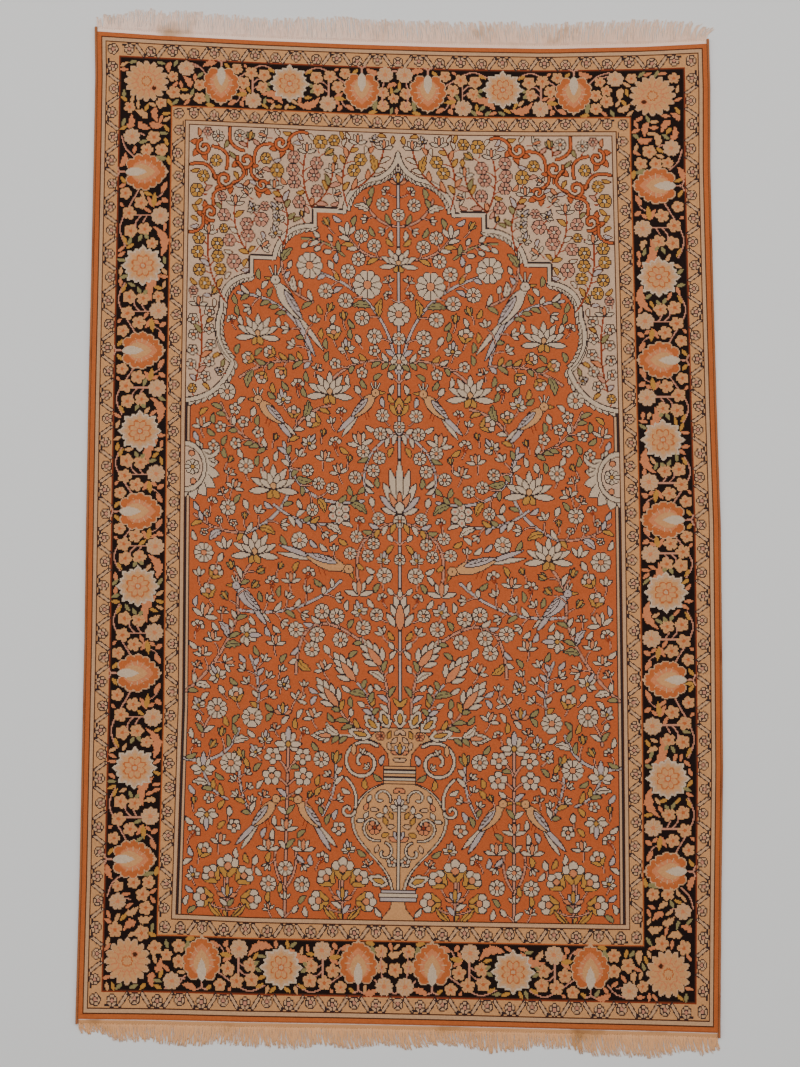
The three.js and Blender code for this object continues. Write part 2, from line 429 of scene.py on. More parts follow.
chart.fill(upright([(20, border_depth), (9, 128), (7, foot_low)]), "beige", "navy")
chart.fill(upright(belly()), "ivory", "navy")
chart.fill(upright(belly(3.6)), "beige", "navy")
neck_to_mouth = [
    (neck_half - 2, neck_high), (14, 316), (24, 329),
    (mouth_half, mouth_low), (mouth_top_half, mouth_high),
]
chart.fill(upright(neck_to_mouth), "beige", "navy")
for level, half, silk in (
    (foot_low, 23, "lilac"), (foot_low + 5, 24, "ivory"), (foot_low + 10, 21, "lilac"),
):
    chart.block(0, half, level - 1, level + 4.5, "navy")
    chart.block(0, half - 1.2, level, level + 3.3, silk)
for number in range(neck_bands):
    level = belly_high - 1 + neck_band_pitch * number
    chart.block(0, neck_half + 6, level - 0.8, level + 4, "navy")
    chart.block(0, neck_half + 5, level, level + 2.9, "ivory" if number % 2 else "beige")


def curl(x, y, radius, start, sweep, silk, width, edge="navy", hooks=0):
    """A spiral that winds in from its outer end, starting at an angle and sweeping round by degrees.
    Its outer turns may carry short pointed hooks."""
    share = np.linspace(0, 1, 28)
    angle = np.radians(start + sweep * share)
    out = radius * (1 - 0.78 * share)
    path = np.stack((x + out * np.cos(angle), y + out * np.sin(angle)), 1)
    for number in range(2, 2 + 4 * hooks, 4):
        heading = facing(path[number], path[number + 1])
        hook = turned([(-9 if sweep < 0 else 9, 4)], *path[number], heading)[0]
        chart.leaf(*path[number], *hook, 6.5, silk, edge, full=0.3)
    chart.stroke(path, silk, width, edge, 1.4)


curl(45, 306, 26, 130, -520, "ivory", 3.0)
curl(63, 247, 9, 190, 330, "ivory", 2.6)
chart.stroke(bowed(54, 250, 66, 286, -0.14), "ivory", 2.6, "navy", 1.2)
chart.leaf(57, 314, 57, 328, 5, "beige")
for x, y, heading in ((40, 300, 40), (46, 318, 120)):
    chart.bloom("tulip", x, y, 5, heading)
# The flowers on the vase's body, and the serrated leaves round its mouth.
for x, y, size, kind in (
    (0, 256, 10, "iris"), (0, 214, 11, "lily"), (8, 184, 6, "ring"), (0, 320, 10, "lily"),
):
    chart.bloom(kind, x, y, size, 90)
chart.rosette(30, 226, 8, 6, "salmon", "madder", "navy")
chart.rosette(24, 338, 5, 6, "salmon", "madder", "navy")
for x, y, radius, start, sweep in (
    (30, 228, 19, 250, 250), (22, 262, 12, 200, -300), (18, 196, 12, 100, 280),
):
    curl(x, y, radius, start, sweep, "ivory", 1.8)
chart.stroke([(0, 152), (0, 252)], "ivory", 1.8, "navy")
for number, (x, y) in sown(left=3, right=56, low=156, high=345, pitch=3.4):
    if chart.free(x, y, 4.6, "beige"):
        root, tip = turned([(0, -4.6), (0, 4.6)], x, y, 60 + 150 * chance(number, 4))
        chart.leaf(*root, *tip, 4.6, ("cream", "ivory", "gold", "cream", "salmon")[number % 5])
for x, y, heading, length in (
    (0, 348, 90, 24), (14, 348, 66, 24), (26, 344, 46, 26), (36, 337, 14, 29), (12, 157, 20, 26),
):
    tip = turned([(0, length)], x, y, heading)[0]
    chart.leaf(x, y, *tip, 14, "ivory", teeth=3)
    chart.leaf(*turned([(0, 0.2 * length), (0, 0.75 * length)], x, y, heading).ravel(), 5.5, "gold")

# The thin pilaster that stands up each side of the field.
pilaster_out = 267.2
pilaster_top = 745
chart.block(pilaster_out - 2.8, field_half, border_depth, pilaster_top, "navy")
chart.block(pilaster_out - 1.4, pilaster_out + 0.2, border_depth, pilaster_top, "cream")

# The arch's inner edge, from its point down to the field's side, and the bow of the part after each turn.
arch_turns = rows(
    "x y bow",
    (0, 1068, 0.14), (26, 1036, -0.18), (70, 992, 0), (79, 993, 0), (108, 993, 0), (108, 973, -0.2),
    (160, 930, 0), (189, 930, 0), (189, 907, -0.22), (227, 862, -0.16), (212, 795, 0.16), (272, 746, 0),
)
arch_parts = [
    (here["bow"], bowed(here["x"], here["y"], there["x"], there["y"], here["bow"]))
    for here, there in zip(arch_turns, arch_turns[1:])
]
arch_end = (arch_turns[-1]["x"], arch_turns[-1]["y"])
arch = np.vstack([part[:-1] for _, part in arch_parts] + [[arch_end]])
spandrel = np.vstack((arch, [(272, pile_length - border_depth), (0, pile_length - border_depth)]))
chart.fill(spandrel, "blush")
for bow, part in arch_parts:
    if bow == 0:
        continue
    for tooth, ahead in zip(part[:-1], part[1:]):
        root, tip = turned([(0, -3), (7.5, 5)], *tooth, facing(tooth, ahead))
        chart.leaf(*root, *tip, 6.5, "ivory", full=0.35)
chart.stroke(arch, "ivory", 5.4, "navy")
chart.stroke(arch + (2.2, 2.2), "navy", 1.1)

# A half medallion leans in from each side: a roundel with a rosette, held in a curled leaf whose
# outer edge is notched, and a scroll that curls from its top round a small flower.
medallion_x, medallion_y = 270, 663
for number, angle in enumerate(np.arange(112, 262, 21)):
    root = turned([(0, 20)], medallion_x, medallion_y, angle)[0]
    reach = 17 + 9 * math.sin(math.pi * number / 8)
    tip = turned([(0, reach)], *root, angle + 30)[0]
    chart.leaf(*root, *tip, 15, "ivory", bend=-0.12)
curl(237, 690, 18, 10, -250, "ivory", 4, "navy", 3)
chart.dot(medallion_x, medallion_y, 31, "ivory")
chart.dot(medallion_x, medallion_y, 26.5, "ivory", "navy", 1.2)
chart.dot(medallion_x, medallion_y, 21.5, "blush", "navy", 1.15)
for x, y in ((262, 680), (260, 645)):
    chart.dot(x, y, 3.2, "salmon", "navy")
chart.rosette(261, 663, 9, 8, "ivory", "gold")
chart.bloom("ring", 235, 691, 6.5, 90)

# Birds: head, rump and tail length. Some sit and some fly.
birds = rows(
    "x y to_x to_y tail crest silk twin",
    (125, 258, 103, 229, 38, 0, "beige", 1),
    (205, 518, 182, 492, 26, 1, "lilac", 0),
    (64, 543, 110, 555, 44, 0, "beige", 0),
    (179, 751, 153, 725, 28, 1, "beige", 0),
    (30, 764, 53, 737, 34, 1, "beige", 0),
    (158, 902, 132, 860, 58, 1, "ivory", 0),
)


def bird(x, y, to_x, to_y, tail, crest, silk):
    """A bird from the side: two tail feathers, a plump body, a folded wing, a round head and a beak."""
    length = math.hypot(to_x - x, to_y - y)
    heading = facing((x, y), (to_x, to_y))
    hand = 1 if to_x > x else -1
    girth = 7.5 + 0.19 * length
    for angle in (-7, 6):
        tip = turned([(0, tail)], to_x, to_y, heading + angle)[0]
        start = turned([(0, -0.25 * length)], to_x, to_y, heading)[0]
        chart.leaf(*start, *tip, 5.5, "lilac" if angle > 0 else "ivory", full=0.6)
    for step in (0.66, 0.8):
        foot = turned([(hand * 0.16 * length, step * length)], x, y, heading)[0]
        chart.stroke([foot, (foot[0] - hand * 3, foot[1] - 9)], "madder", 1.3)
    neck = turned([(0, 0), (hand * 0.05 * length, 0.4 * length)], x, y, heading)
    chart.stroke(neck, silk, 0.5 * girth, "navy")
    body = turned([(0, 0.08 * length), (0, 1.15 * length)], x, y, heading).ravel()
    chart.leaf(*body, girth, silk, full=0.42)
    chart.stroke(turned([(0, 0), (0, 0.3 * length)], x, y, heading), silk, 0.42 * girth)
    back = hand * -0.2 * girth
    wing = turned([(back, 0.34 * length), (1.2 * back, 1.2 * length)], x, y, heading)
    chart.leaf(*wing.ravel(), 0.48 * girth, "lilac", vein="navy")
    for share in (0.3, 0.5, 0.7):
        bar = wing[0] + share * (wing[1] - wing[0])
        chart.stroke([bar, turned([(0, 0.35 * girth)], *bar, heading + 35 * hand)[0]], "navy", 1.1)
    beak = turned([(0, -0.75 * girth - 1.5)], x, y, heading + hand * 48)[0]
    chart.leaf(x, y, *beak, 3.4, "gold")
    for lean in (-25, 0, 25) if crest else ():
        chart.stroke([(x, y), turned([(0, 0.36 * length)], x, y, 90 + lean)[0]], "ivory", 1.3, "navy")
    chart.dot(x, y, 0.3 * girth + 0.4, silk, "navy")
    chart.dot(x, y, 0.9, "navy")


# The main stems, each a single bow. Its side shoots end in the flower named, where there is room.
stems = rows(
    "x y to_x to_y bow silk width shoots reach kind size twin",
    (0, 372, 0, 1046, 0, "lilac", 1.3, 16, 15, "bud", 5, 0),
    (68, 114, 68, 170, 0, "rose", 1.8, 0, 0, "bud", 4, 1),
    (138.5, 114, 138.5, 322, 0, "rose", 1.9, 10, 17, "bud", 5, 0),
    (126, 196, 138, 150, 0.1, "rose", 1.5, 3, 14, "tulip", 6, 1),
    (94, 240, 79, 302, -0.08, "lilac", 1.7, 5, 12, "tulip", 6, 1),
    (138, 275, 120, 286, 0.1, "rose", 1.5, 0, 0, "bud", 4, 1),
    (138, 291, 120, 311, 0.1, "rose", 1.5, 0, 0, "bud", 4, 1),
    (212, 256, 243, 292, 0.14, "lilac", 1.7, 3, 14, "ring", 6.5, 0),
    (266, 303, 200, 342, -0.22, "lilac", 2.2, 5, 19, "crocus", 8, 0),
    (245, 331, 228, 362, 0.12, "rose", 1.5, 2, 14, "bud", 5, 0),
    (178, 368, 187, 432, -0.08, "lilac", 2.0, 5, 20, "tulip", 7, 0),
    (266, 386, 202, 488, -0.08, "rose", 2.1, 8, 23, "fan", 9, 0),
    (14, 366, 27, 428, -0.06, "rose", 1.9, 3, 14, "bud", 5, 0),
    (34, 358, 53, 402, -0.1, "lilac", 1.7, 2, 13, "bud", 5, 0),
    (46, 344, 76, 371, 0.1, "rose", 1.6, 1, 12, "bud", 5, 0),
    (60, 337, 84, 337, 0, "ivory", 1.8, 0, 0, "bud", 4, 0),
    (46, 452, 130, 412, -0.48, "rose", 2.0, 12, 15, "rosette", 9.2, 0),
    (4, 602, 52, 528, -0.24, "rose", 1.9, 8, 14, "rosette", 7.4, 0),
    (3, 714, 42, 636, -0.2, "lilac", 1.7, 5, 12, "rosette", 7.8, 0),
    (193, 584, 146, 698, -0.24, "lilac", 2.3, 6, 21, "tulip", 8, 0),
    (146, 698, 46, 628, -0.26, "lilac", 2.2, 7, 22, "rosette", 7.4, 0),
    (140, 700, 88, 746, 0.14, "rose", 1.9, 2, 17, "pansy", 8, 0),
    (168, 690, 226, 744, 0.12, "rose", 1.8, 5, 17, "ring", 7, 0),
    (158, 620, 64, 604, -0.14, "lilac", 1.9, 5, 16, "tulip", 6, 0),
    (196, 584, 258, 604, 0.1, "rose", 1.6, 5, 13, "ring", 4.6, 0),
    (202, 484, 182, 552, 0.12, "rose", 1.9, 4, 19, "crocus", 8, 0),
    (200, 488, 74, 528, -0.12, "lilac", 2.0, 7, 19, "tulip", 7, 0),
    (3, 790, 112, 916, -0.18, "lilac", 2.0, 9, 22, "rosette", 9.2, 0),
    (3, 800, 88, 776, -0.16, "rose", 1.7, 3, 16, "ring", 7, 0),
    (112, 800, 206, 884, -0.2, "lilac", 2.1, 7, 22, "tulip", 8, 0),
    (110, 876, 150, 934, 0.2, "rose", 1.7, 3, 15, "bud", 5, 0),
    (3, 934, 66, 962, 0.16, "rose", 1.7, 4, 17, "rosette", 8.4, 0),
    (70, 936, 124, 956, -0.1, "olive", 1.7, 6, 12, "bud", 5, 0),
    (3, 975, 44, 1010, 0.16, "rose", 1.6, 4, 14, "tulip", 6, 0),
    (112, 800, 202, 778, -0.1, "rose", 1.8, 5, 18, "pansy", 8, 0),
)
chart.stroke([(0, 372), (0, 1046)], "lilac", 1.6, "navy", 0.9)

# The main flowers, about where the photo has them.
flowers = rows(
    "kind x y size heading twin",
    ("rosette", 118, 155, 9.5, 90, 1), ("rosette", 138.5, 174, 9, 90, 0), ("fan", 138.5, 226, 11, 90, 0),
    ("tulip", 138.5, 140, 7, 90, 0), ("ring", 120, 311, 10.5, 270, 1), ("ring", 119, 286, 11.5, 90, 1),
    ("iris", 138.5, 332, 15, 90, 0), ("crocus", 79, 308, 11, 100, 1), ("rosette", 97, 308, 9.5, 90, 0),
    ("ring", 74, 224, 8.5, 270, 1), ("fan", 117, 201, 11, 90, 1), ("rosette", 209, 300, 13, 90, 0),
    ("iris", 243, 298, 14, 90, 0), ("iris", 237, 230, 13, 270, 0), ("plume", 97, 337, 13, 0, 0),
    ("rosette", 184, 357, 12.5, 90, 0), ("rosette", 228, 366, 12.5, 90, 0), ("iris", 230, 410, 11, 60, 0),
    ("iris", 186, 458, 13, 180, 0), ("fan", 243, 484, 13, 110, 0), ("lily", 146, 366, 10, 90, 0),
    ("plume", 0, 494, 26, 90, 0), ("fan", 51, 518, 14, 90, 0), ("lotus", 182, 568, 21, 90, 0),
    ("rosette", 246, 557, 12, 90, 0), ("rosette", 126, 577, 10, 90, 0), ("tulip", 220, 568, 11, 80, 0),
    ("rosette", 0, 604, 8, 90, 0), ("rosette", 0, 556, 7, 90, 0), ("palmette", 0, 632, 38, 90, 0),
    ("cluster", 76, 613, 15, 90, 0), ("lotus", 159, 650, 22, 90, 0), ("lotus", 88, 770, 21, 90, 0),
    ("gold bud", 0, 744, 16, 90, 0), ("rosette", 0, 722, 7, 90, 0), ("fan", 50, 704, 13, 80, 0),
    ("rosette", 218, 759, 10.5, 90, 0), ("pansy", 109, 727, 10, 20, 0), ("lotus", 180, 840, 20, 90, 0),
    ("rosette", 0, 864, 14.5, 90, 0), ("rosette", 40, 900, 18, 90, 0), ("rosette", 114, 922, 16.5, 90, 0),
    ("lotus", 0, 934, 17, 90, 0), ("tulip", 66, 968, 12, 90, 0), ("rosette", 0, 990, 8, 90, 0),
    ("rosette", 20, 1003, 8, 90, 0), ("lily", 0, 1034, 10, 90, 0), ("rosette", 0, 804, 10, 90, 0),
    ("crocus", 236, 884, 9, 120, 0), ("rosette", 0, 833, 8, 90, 0),
)
# Three plumes side by side on a ring about the vase's mouth, all facing the same way.
plume_ring = 82
plume_ring_middle = 345
plume_size, plume_heading = 22, 52
for heading in (74, 47, 20):
    x, y = turned([(0, plume_ring)], 0, plume_ring_middle, heading)[0]
    x, y = turned([(0, plume_size)], x, y, plume_heading)[0]
    flowers += rows("kind x y size heading twin", ("plume", x, y, plume_size, plume_heading, 0))


def nosegay(middle):
    """Five pansies and a lily on one stem, with grass at its foot, as it repeats along the bed."""
    for out, up, size, heading in ((0, 61, 14, 90), (20, 50, 12, 42), (29, 22, 12.5, 0)):
        for hand in (1, -1) if out else (1,):
            x, y = middle + hand * out, border_depth + up
            chart.stroke(bowed(middle, border_depth + up / 2.6, x, y, hand * 0.1), "rose", 1.4, "navy", 0.75)
            chart.pansy(x, y, size, heading if hand > 0 else 180 - heading)
            foot = middle + 0.3 * hand * out
            blade = turned([(0, 15 + 0.2 * out)], foot, border_depth, 90 - hand * (12 + out))[0]
            chart.leaf(foot, border_depth, *blade, 3.4, "gold", bend=0.1 * hand)
    chart.bloom("lily", middle, border_depth + 28, 11, 90)


nosegay_middle = 68
leaf_silks = ("olive", "ivory", "gold", "olive", "lilac", "ivory", "olive")
stems = list(with_twins(stems))
for stem in stems:
    chart.stroke(stem_path(stem), stem["silk"], 1.4 * stem["width"], "navy", 1.0)
for middle in (nosegay_middle, 2 * bed_axis - nosegay_middle):
    nosegay(middle)
for flower in with_twins(flowers):
    chart.bloom(**flower)
for row in with_twins(birds):
    bird(**row)


def grow(stems, ground, line, edge, silks):
    """Shoots on both hands of each stem in turn, and leaves between them, where the ground is free."""
    for number, stem in enumerate(stems):
        path = stem_path(stem)
        length = math.hypot(stem["to_x"] - stem["x"], stem["to_y"] - stem["y"])
        size = stem["size"]
        for shoot in range(stem["shoots"]):
            share = (shoot + 0.9) / (stem["shoots"] + 0.6) * (len(path) - 2)
            here, ahead = path[int(share)], path[int(share) + 1]
            heading = facing(here, ahead)
            hand = 1 if (shoot + number) % 2 else -1
            for reach in (stem["reach"], 0.8 * stem["reach"], 1.25 * stem["reach"]):
                way = heading + hand * (46 + 14 * chance(shoot, number))
                neck, end = turned([(0, reach - 0.9 * size), (0, reach)], *here, way)
                if chart.free(*end, 0.95 * size, ground):
                    chart.stroke(bowed(*here, *neck, 0.08 * hand), line, 1.4, edge, 0.75)
                    chart.bloom(stem["kind"], *end, size, way - hand * 14)
                    break
        for step in np.arange(6, length, 8.5):
            spot_number = int(step / length * (len(path) - 1))
            here, ahead = path[spot_number], path[min(spot_number + 1, len(path) - 1)]
            heading = facing(here, ahead)
            for hand in (-1, 1):
                pick = int(step * 7 + number * 3 + hand)
                way = heading + hand * (34 + 22 * chance(pick, 3))
                long_reach = 20 + 5 * chance(pick, 6)
                long_spots = turned([(0, 0.5 * long_reach), (0, 0.85 * long_reach)], *here, way)
                if pick % 3 == 0 and all(chart.free(*place, 4.3, ground) for place in long_spots):
                    root, tip = turned([(0, 1.5), (0, long_reach)], *here, way)
                    silk = silks[pick // 3 % len(silks)]
                    chart.leaf(*root, *tip, 8.2, silk, edge or "brown", 0.12 * hand, 3, "navy")
                    continue
                reach = 11 + 6 * chance(pick, 5)
                root, room, tip = turned([(0, 1.5), (0, reach - 3.5), (0, reach)], *here, way)
                if chart.free(*room, 3.4, ground):
                    chart.leaf(*root, *tip, 5.2, silks[pick % len(silks)], edge or "brown", 0.08 * hand)


grow(stems, "rust", "rose", "navy", leaf_silks)

# What ground is still free is sown with small flowers, then buds and leaves, each a little turned.
for size, room, pitch, kinds in (
    (9.5, 14, 7, ("rosette", "pansy", "iris", "fan")),
    (8, 11.5, 5, ("rosette", "tulip", "iris", "crocus", "berries")),
    (6, 8.8, 4, ("bud", "crocus", "tulip", "berries", "fan")),
):
    for number, (x, y) in sown(left=5, right=field_half, low=border_depth + 8, high=1070, pitch=pitch):
        x, y = astray(number, x, y, pitch)
        if x < 260 and chart.free(x, y, room, "rust"):
            lean = 90 + 70 * (chance(number, 4) - 0.5) - 25 * (x < 60)
            foot = turned([(0, -room - 4)], x, y, lean)[0]
            chart.stroke(bowed(*foot, x, y, 0.1), "rose", 1.3, "navy", 0.7)
            chart.bloom(kinds[int(chance(number, 6) * len(kinds))], x, y, size, lean)
for number, (x, y) in sown(left=3, right=field_half - 6, low=border_depth + 5, high=1080, pitch=4.2):
    x, y = astray(number, x, y, 3)
    if x < 262 and chart.free(x, y, 6, "rust"):
        lean = 90 + 120 * (chance(number, 4) - 0.5)
        root, tip = turned([(0, -6.5), (0, 6)], x, y, lean)
        chart.leaf(*root, *tip, 5.4, leaf_silks[number % 7], bend=0.1)

# Beyond the arch, on the pale ground: rust strapwork with hooked curls in the corner, and dark red
# stems with gold and rose flowers that rise from the arch. Small flowers and leaves fill the rest.
for x, y, radius, start, sweep in (
    (224, 1027, 12, 200, 420), (197, 1052, 12, 20, -420), (152, 1076, 11, 160, 400),
    (251, 1066, 11, 70, -400), (242, 984, 11, 250, 400), (176, 1022, 9, 330, -380),
):
    curl(x, y, radius, start, sweep, "rust", 2.7, "brown", 3)
for x, y, to_x, to_y, bow in (
    (268, 1044, 236, 1028, 0.25), (213, 1023, 208, 1050, -0.4), (186, 1050, 162, 1074, 0.3),
    (200, 1064, 218, 1092, 0.25), (224, 1015, 238, 994, -0.3), (252, 980, 268, 958, 0.3),
    (142, 1080, 118, 1090, 0.2), (190, 1042, 182, 1028, -0.2), (240, 1068, 222, 1040, 0.3),
):
    chart.stroke(bowed(x, y, to_x, to_y, bow), "rust", 2.7, "brown", 1.2)
pale_stems = rows(
    "x y to_x to_y bow shoots reach kind size",
    (112, 996, 118, 1070, 0.1, 8, 17, "rose rosette", 7.6),
    (112, 996, 84, 1046, -0.12, 5, 16, "fan", 7),
    (66, 1000, 52, 1084, 0.14, 7, 17, "gold rosette", 7.6),
    (60, 1020, 18, 1078, -0.14, 6, 16, "ring", 7),
    (148, 946, 160, 1022, -0.14, 8, 17, "iris", 7.8),
    (192, 934, 210, 1000, 0.12, 7, 17, "rose rosette", 7.6),
    (222, 872, 244, 962, 0.1, 9, 17, "gold rosette", 7.4),
    (258, 770, 256, 870, -0.06, 9, 14, "ring", 6.4),
)
for stem in pale_stems:
    path = stem_path(stem)
    chart.stroke(path, "madder", 2.2)
    chart.bloom("fan", *path[-1], 9, 90)
pale_silks = ("gold", "salmon", "olive", "ivory", "rose", "gold", "lilac")
grow(pale_stems, "blush", "madder", None, pale_silks)
pale_low, pale_high = 755, 1092
pale_kinds = ("gold rosette", "fan", "rose rosette", "crocus", "rosette", "iris")
for size, room, pitch in ((8.6, 11, 6), (7, 9, 5), (5.4, 7, 4)):
    for number, (x, y) in sown(left=5, right=field_half - 8, low=pale_low, high=pale_high, pitch=pitch):
        x, y = astray(number, x, y, pitch)
        if chart.free(x, y, room, "blush"):
            lean = 90 + 150 * (chance(number, 3) - 0.5)
            foot = turned([(0, -room - 3)], x, y, lean)[0]
            chart.stroke(bowed(*foot, x, y, 0.14), "madder", 1.5)
            chart.bloom(pale_kinds[int(chance(number, 9) * 6)], x, y, size, lean)
for number, (x, y) in sown(left=3, right=field_half - 6, low=pale_low, high=pale_high, pitch=4.4):
    if chart.free(x, y, 4.2, "blush"):
        root, tip = turned([(0, -5), (0, 5)], x, y, 360 * chance(number, 4))
        chart.leaf(*root, *tip, 4.2, pale_silks[number % 7], "brown", 0.1)


def mirror_field():
    """The field's right half is drawn, and its left half is the same turned over."""
    half = knot_columns // 2
    chart.knots[:, :half] = chart.knots[:, half:][:, ::-1]


mirror_field()


# Positions round the border: how far along a side, and how deep in from the pile's edge.
inward = {"near": 90, "far": 270, "left": 0, "right": 180}
side_spans = {
    "near": (-half_width, half_width), "far": (-half_width, half_width),
    "left": (0, pile_length), "right": (0, pile_length),
}


def spot(side, along, depth):
    """Where a position round the border is on the chart."""
    return {
        "near": (along, depth),
        "far": (along, pile_length - depth),
        "left": (depth - half_width, along),
        "right": (half_width - depth, along),
    }[side]


def band(shallow, deep, silk):
    """A plain stripe all round the border, between two depths."""
    for side, (first, last) in side_spans.items():
        corners = [spot(side, first + shallow, shallow), spot(side, last - shallow, deep)]
        (left, low), (right, high) = np.sort(corners, axis=0)
        chart.block(left, right, low, high, silk)


for stripe in rows(
    "shallow deep silk",
    (0, 4.6, "orange"),
    (4.6, 6.0, "brown"),
    (6.0, 10.6, "cream"),
    (10.6, 12.0, "brown"),
    (12.0, 26.6, "beige"),
    (26.6, 27.8, "madder"),
    (27.8, 29.2, "brown"),
    (29.2, 90.4, "black"),
    (90.4, 91.8, "brown"),
    (91.8, 93.2, "orange"),
    (93.2, 107.4, "beige"),
    (107.4, 108.8, "brown"),
    (108.8, 112.6, "cream"),
    (112.6, 113.9, "brown"),
):
    band(**stripe)


ribbon_slant = 4.2


def guard_rosette(centre, turn=0.0):
    """The five-petalled flower of a guard border."""
    chart.rosette(*centre, 5.8, 5, "cream", "rose", "navy", turn, 0.42)


def guard(side, stations, shallow, deep):
    """A guard border: a ribbon that zigzags between its two edges, with a rosette in each turn."""
    last = len(stations) - 2
    for number, (here, there) in enumerate(zip(stations[:-1], stations[1:])):
        plateau = deep if number % 2 else shallow
        other = shallow if number % 2 else deep
        middle = (here + there) / 2
        turn_start = spot(side, here + ribbon_slant, plateau)
        turn_end = spot(side, there - ribbon_slant, plateau)
        chart.stroke([turn_start, turn_end], "navy", 1.4)
        if number < last:
            slope = [turn_end, spot(side, there + ribbon_slant, other)]
            chart.stroke(slope, "cream", 3.0, "navy", 1.25)
        into = (deep - shallow) * (0.1 if number % 2 else -0.1)
        centre = spot(side, middle, (shallow + deep) / 2 + into)
        guard_rosette(centre, inward[side] + 36 * (number % 2))


def stations(first, last, gap):
    """Turning points of a guard ribbon, evenly spaced at about the gap."""
    count = max(2, round((last - first) / gap))
    return list(np.linspace(first, last, count + 1))


ribbon_gaps = {"near": 26.8, "far": 27.0, "left": 29.5, "right": 29.5}
for inset, shallow, deep in ((26, 14.0, 24.8), (106, 95.2, 105.6)):
    for side, (first, last) in side_spans.items():
        guard(side, stations(first + inset, last - inset, ribbon_gaps[side]), shallow, deep)
for depth in (19.3, 100.4):
    for hand in (-1, 1):
        for side in ("near", "far"):
            guard_rosette(spot(side, hand * (half_width - depth), depth))


def palmette(side, along, depth):
    """A large scalloped palmette that points to the field, with an ivory drop on its stem."""
    x, y = spot(side, along, depth)
    lobes = rows(
        "right forward radius",
        (10, -15.5, 7.2), (16, -7.5, 6.8), (17.5, 1.5, 6.4), (14.5, 10, 6), (9.5, 17, 5.4), (4, 22, 4.6),
    )
    chart.leaf(*turned([(0, 8), (0, 30)], x, y, inward[side]).ravel(), 11, "cream", None)
    for rim, silk in ((0, "cream"), (-1.3, "orange")):
        for lobe in lobes:
            for hand in (-1, 1):
                centre = turned([(hand * lobe["right"], lobe["forward"])], x, y, inward[side])[0]
                chart.dot(*centre, lobe["radius"] + rim, silk)
    for width, length, silk, back in (
        (40, 48, "orange", 22), (29, 38, "salmon", 18), (20, 30, "beige", 17), (11, 27, "ivory", 24),
    ):
        foot, tip = turned([(0, -back), (0, length - back)], x, y, inward[side])
        chart.leaf(*foot, *tip, width, silk, None, full=0.42)
    for hand in (-1, 1):
        for lobe in lobes[1:5]:
            right, forward = hand * lobe["right"], lobe["forward"]
            crease = [(0.95 * right, 0.9 * forward), (0.6 * right, 0.6 * forward)]
            chart.stroke(turned(crease, x, y, inward[side]), "cream", 0.9)
        chart.stroke(turned([(0, -24), (0, -30), (hand * 6, -33)], x, y, inward[side]), "rose", 1.8)


def star(side, along, depth):
    """A large star flower of eight long and eight short pointed petals, paler at their tips."""
    x, y = spot(side, along, depth)
    patch, out, around = chart.round_patch(x, y, 29)
    turn = around * 4 / math.pi
    long_point = 1 - 2 * np.abs(turn - np.round(turn))
    short_point = 1 - 2 * np.abs(turn - 0.5 - np.round(turn - 0.5))
    brim = np.maximum(16.5 + 10 * long_point, 17 + 6.5 * short_point)
    patch[out < brim] = dyes["ivory"]
    patch[out < brim - 2.6] = dyes["cream"]
    patch[out < 0.72 * brim] = dyes["beige"]
    petal_edge = np.abs(np.sin(8 * around)) * out / 8
    between_tips = (long_point < 0.8) & (short_point < 0.8)
    patch[(out < brim - 2) & (out > 6) & (petal_edge < 0.5) & between_tips] = dyes["salmon"]
    inner = 9.5 + 4 * np.abs(np.cos(4 * around + math.pi / 2))
    patch[np.abs(out - inner) < 0.9] = dyes["orange"]
    patch[(out < inner - 1.6) & (np.abs(np.sin(4 * around)) * out / 4 < 0.7)] = dyes["salmon"]
    patch[out < 4.2] = dyes["orange"]
    patch[out < 2.6] = dyes["cream"]


def corner_flower(x, y, dot_x, dot_y):
    """The round many-petalled flower in a corner of the main border."""
    patch, out, around = chart.round_patch(x, y, 30)
    brim = 21 + 6.5 * np.abs(np.cos(8 * around)) ** 0.7
    patch[out < brim] = dyes["cream"]
    patch[out < brim - 2.4] = dyes["beige"]
    patch[(out < brim - 2) & (out > 13) & (np.abs(np.cos(8 * around)) * out / 8 < 0.7)] = dyes["salmon"]
    inner = 10 + 2.6 * np.abs(np.cos(5 * around))
    patch[np.abs(out - inner) < 0.9] = dyes["salmon"]
    patch[np.abs(out - 0.5 * inner) < 0.8] = dyes["orange"]
    chart.dot(dot_x, dot_y, 4.2, "salmon")
    chart.dot(dot_x, dot_y, 2.8, "brown")


